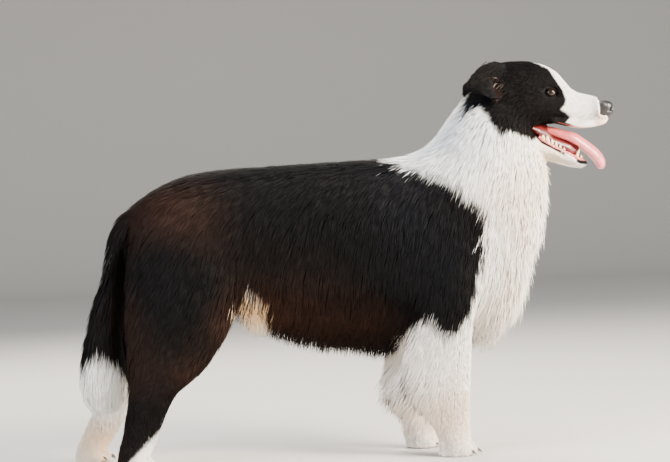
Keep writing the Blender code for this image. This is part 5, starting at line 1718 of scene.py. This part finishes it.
class COLLIE_OT_mouth(bpy.types.Operator):
    """Makes the tongue, the floor of the mouth, the gum and the teeth"""
    bl_idname = "collie.mouth"
    bl_label = "Mouth"

    def execute(self, context):
        plan = context.scene.collie
        tongue = wet_material("wet_tongue", plan.tongue_in_shade, plan.tongue_front, 0.36, 900.0)
        gum = wet_material("wet_gum", plan.gum, plan.gum, 0.30, 500.0)
        # the floor under the tongue is a dark red of painted shade
        deep = wet_material("wet_mouth_floor", colour("#5e1614"), colour("#742320"), 0.34, 500.0)
        enamel = hard_material("tooth_enamel", 240.0, colour("#e0bd86"), colour("#f4e2c0"),
                               Roughness=0.28, IOR=1.6)
        hand_over(tongue_shape("tongue_soft", tongue), "tongue_flesh", "tongue")
        hand_over(mouth_floor("mouth_floor", deep), "tongue_flesh")
        hand_over(gum_shape("lower_gum", gum), "tongue_flesh")
        hand_over(teeth_shape("lower_teeth", LOWER_TEETH, enamel), "white_coat")
        hand_over(teeth_shape("upper_teeth", UPPER_TEETH, enamel), "white_coat")
        return {"FINISHED"}


class COLLIE_OT_nose(bpy.types.Operator):
    """Makes the nose leather with its nostrils"""
    bl_idname = "collie.nose"
    bl_label = "Nose"

    def execute(self, context):
        hand_over(nose_shape("nose_leather", nose_material("damp_nose_leather")), "nose_leather", "nose")
        return {"FINISHED"}


class COLLIE_OT_claws(bpy.types.Operator):
    """Makes the claws and the whiskers"""
    bl_idname = "collie.claws"
    bl_label = "Claws and whiskers"

    def execute(self, context):
        for shape, name, horn in ((claw_shapes, "claws", "claw_horn"),
                                  (whisker_shapes, "whiskers", "whisker")):
            keratin = hard_material(horn, 700.0, colour("#2b2320"), colour("#5a4a40"), Roughness=0.35)
            hand_over(shape(name, keratin), "nose_leather")
        return {"FINISHED"}


class COLLIE_OT_coat(bpy.types.Operator):
    """Grows the whole coat over the skin, a piece for each region and side"""
    bl_idname = "collie.coat"
    bl_label = "Coat"

    def execute(self, context):
        guard, face = coat_material("guard_hair", 0.55, 0.09), coat_material("face_hair", 0.62, 0.05)
        for lay, kind, weight in kinds_of_coat(MADE["skin"], context.scene.collie.coat_share):
            locks = lay(MADE["skin"], weight, kind)
            for title, side, mine in pieces_of_coat(locks["root"]):
                part = {key: value[mine] for key, value in locks.items()}
                axis = np.array(AXES[title])
                if side == "_right":
                    axis = axis * (1, -1, 1)
                part["map"] = round_axis(part["root"], axis)
                dull = title == "head" or kind.name == "wisps"
                piece = coat_piece(f"coat_{title}_{kind.name}{side}", part, face if dull else guard)
                hand_over(piece, "white_coat" if title in WHITE_REGIONS else "black_coat")
        hand_over(ear_tufts("coat_ear_tufts", face), "black_coat")
        return {"FINISHED"}


# The floor reaches from its front back to the wall, which it meets in a quarter of a circle.
FLOOR_FRONT, WALL, FLOOR_SIDE, WALL_HEIGHT, BEND = -12.0, 10.0, 14.0, 6.0, 2.0
# Each lamp: its name, where it stands, what it points at, its width in metres, its power in watts
# and its colour.
LAMPS = (
    ("key", (2.5, -2.1, 2.1), (0.1, 0.0, 0.35), 1.4, 470.0, "#fff3e4"),
    ("fill", (-2.6, -2.6, 1.6), (-0.1, 0.0, 0.35), 2.2, 150.0, "#eef3ff"),
    ("back", (-0.6, 2.4, 2.6), (0.0, 0.0, 0.4), 1.6, 190.0, "#fff6ea"),
    ("low", (2.4, -0.6, 0.7), (0.2, 0.0, 0.30), 1.2, 85.0, "#fff6ea"),
    ("top", (0.0, -0.4, 3.2), (0.0, 0.0, 0.3), 2.0, 70.0, "#f4f8ff"),
)
# The camera stands 3.4 m to the dog's right, turned a little ahead and down, and tilted.
CAMERA_AT = (-0.1909, -3.4, 0.447)
CAMERA_YAW, CAMERA_PITCH, CAMERA_ROLL = [math.radians(turn) for turn in (3.0, -0.5, -2.3)]
SENSOR = 36.0           # width of the camera's sensor in millimetres


def floor_sheet(name, tint):
    """The stage's floor, bent up behind the dog into a wall along a quarter of a circle."""
    turn = np.linspace(0.0, math.pi / 2.0, 16)
    y = np.concatenate(([FLOOR_FRONT], WALL - BEND + BEND * np.sin(turn), [WALL]))
    z = np.concatenate(([0.0], BEND - BEND * np.cos(turn), [WALL_HEIGHT]))
    sides = [np.column_stack((np.full(len(y), x), y, z)) for x in (-FLOOR_SIDE, FLOOR_SIDE)]
    i = np.arange(len(y) - 1) * 2
    faces = np.stack((i, i + 1, i + 3, i + 2), -1)
    sheet = new_mesh(name, np.stack(sides, 1).reshape(-1, 3), [faces])
    # matt wall paint, rolled on: no gloss and no grain that shows from three metres
    paint = bpy.data.materials.new("painted_floor")
    paint.use_nodes = True
    shader = paint.node_tree.nodes["Principled BSDF"]
    shader.inputs["Base Color"].default_value = tint
    shader.inputs["Roughness"].default_value = 0.9
    return show(name, sheet, paint)


def lamp_of(name, at, aim, width, power, code):
    """A round lamp that stands at a place and points at another."""
    light = bpy.data.lights.new(name, "AREA")
    light.shape, light.size, light.energy = "DISK", width, power
    light.color = colour(code)[:3]
    lamp = bpy.data.objects.new(name, light)
    lamp.location = at
    lamp.rotation_euler = (Vector(aim) - Vector(at)).to_track_quat("-Z", "Y").to_euler()
    return lamp


def camera_of(lens):
    """The camera, from its yaw and pitch, and then a roll round its own line of sight."""
    glass = bpy.data.cameras.new("camera")
    glass.lens, glass.sensor_width = lens, SENSOR
    camera = bpy.data.objects.new("camera", glass)
    level = math.cos(CAMERA_PITCH)
    look = Vector((math.sin(CAMERA_YAW) * level, math.cos(CAMERA_YAW) * level, math.sin(CAMERA_PITCH)))
    right = look.cross(Vector((0, 0, 1))).normalized()
    up = right.cross(look)
    cos, sin = math.cos(CAMERA_ROLL), math.sin(CAMERA_ROLL)
    right, up = right * cos + up * sin, up * cos - right * sin
    turned = Matrix((right, up, -look)).transposed().to_4x4()
    camera.matrix_world = Matrix.Translation(CAMERA_AT) @ turned
    return camera


class COLLIE_OT_stage(bpy.types.Operator):
    """Makes the floor, the lights and the camera"""
    bl_idname = "collie.stage"
    bl_label = "Stage"

    def execute(self, context):
        scene = context.scene
        floor_sheet("floor", scene.collie.floor)
        for lamp in LAMPS:
            scene.collection.objects.link(lamp_of(*lamp))
        world = bpy.data.worlds.new("studio")
        world.use_nodes = True
        sky = world.node_tree.nodes["Background"]
        sky.inputs["Color"].default_value = colour("#e8ecf2")
        sky.inputs["Strength"].default_value = 0.62
        scene.world = world
        scene.camera = camera_of(scene.collie.lens)
        scene.collection.objects.link(scene.camera)
        return {"FINISHED"}


class COLLIE_PT_panel(bpy.types.Panel):
    """Lists the pieces in the order in which they are made"""
    bl_label = "Collie"
    bl_idname = "COLLIE_PT_panel"
    bl_space_type = "VIEW_3D"
    bl_region_type = "UI"
    bl_category = "Collie"

    def draw(self, context):
        for name in ColliePlan.__annotations__:
            self.layout.prop(context.scene.collie, name)
        for step in OPERATORS:
            self.layout.operator(step.bl_idname)


OPERATORS = (COLLIE_OT_skin, COLLIE_OT_eyes, COLLIE_OT_nose, COLLIE_OT_mouth, COLLIE_OT_claws,
             COLLIE_OT_coat, COLLIE_OT_stage)
CLASSES = (ColliePlan,) + OPERATORS + (COLLIE_PT_panel,)


def register():
    """Makes the classes and the plan known to Blender."""
    for each in CLASSES:
        bpy.utils.register_class(each)
    bpy.types.Scene.collie = bpy.props.PointerProperty(type=ColliePlan)


def unregister():
    """Takes the plan and the classes away again."""
    del bpy.types.Scene.collie
    for each in reversed(CLASSES):
        bpy.utils.unregister_class(each)


def main():
    """Makes every piece in turn."""
    register()
    for step in OPERATORS:
        family, name = step.bl_idname.split(".")
        getattr(getattr(bpy.ops, family), name)()


if __name__ == "__main__":
    main()
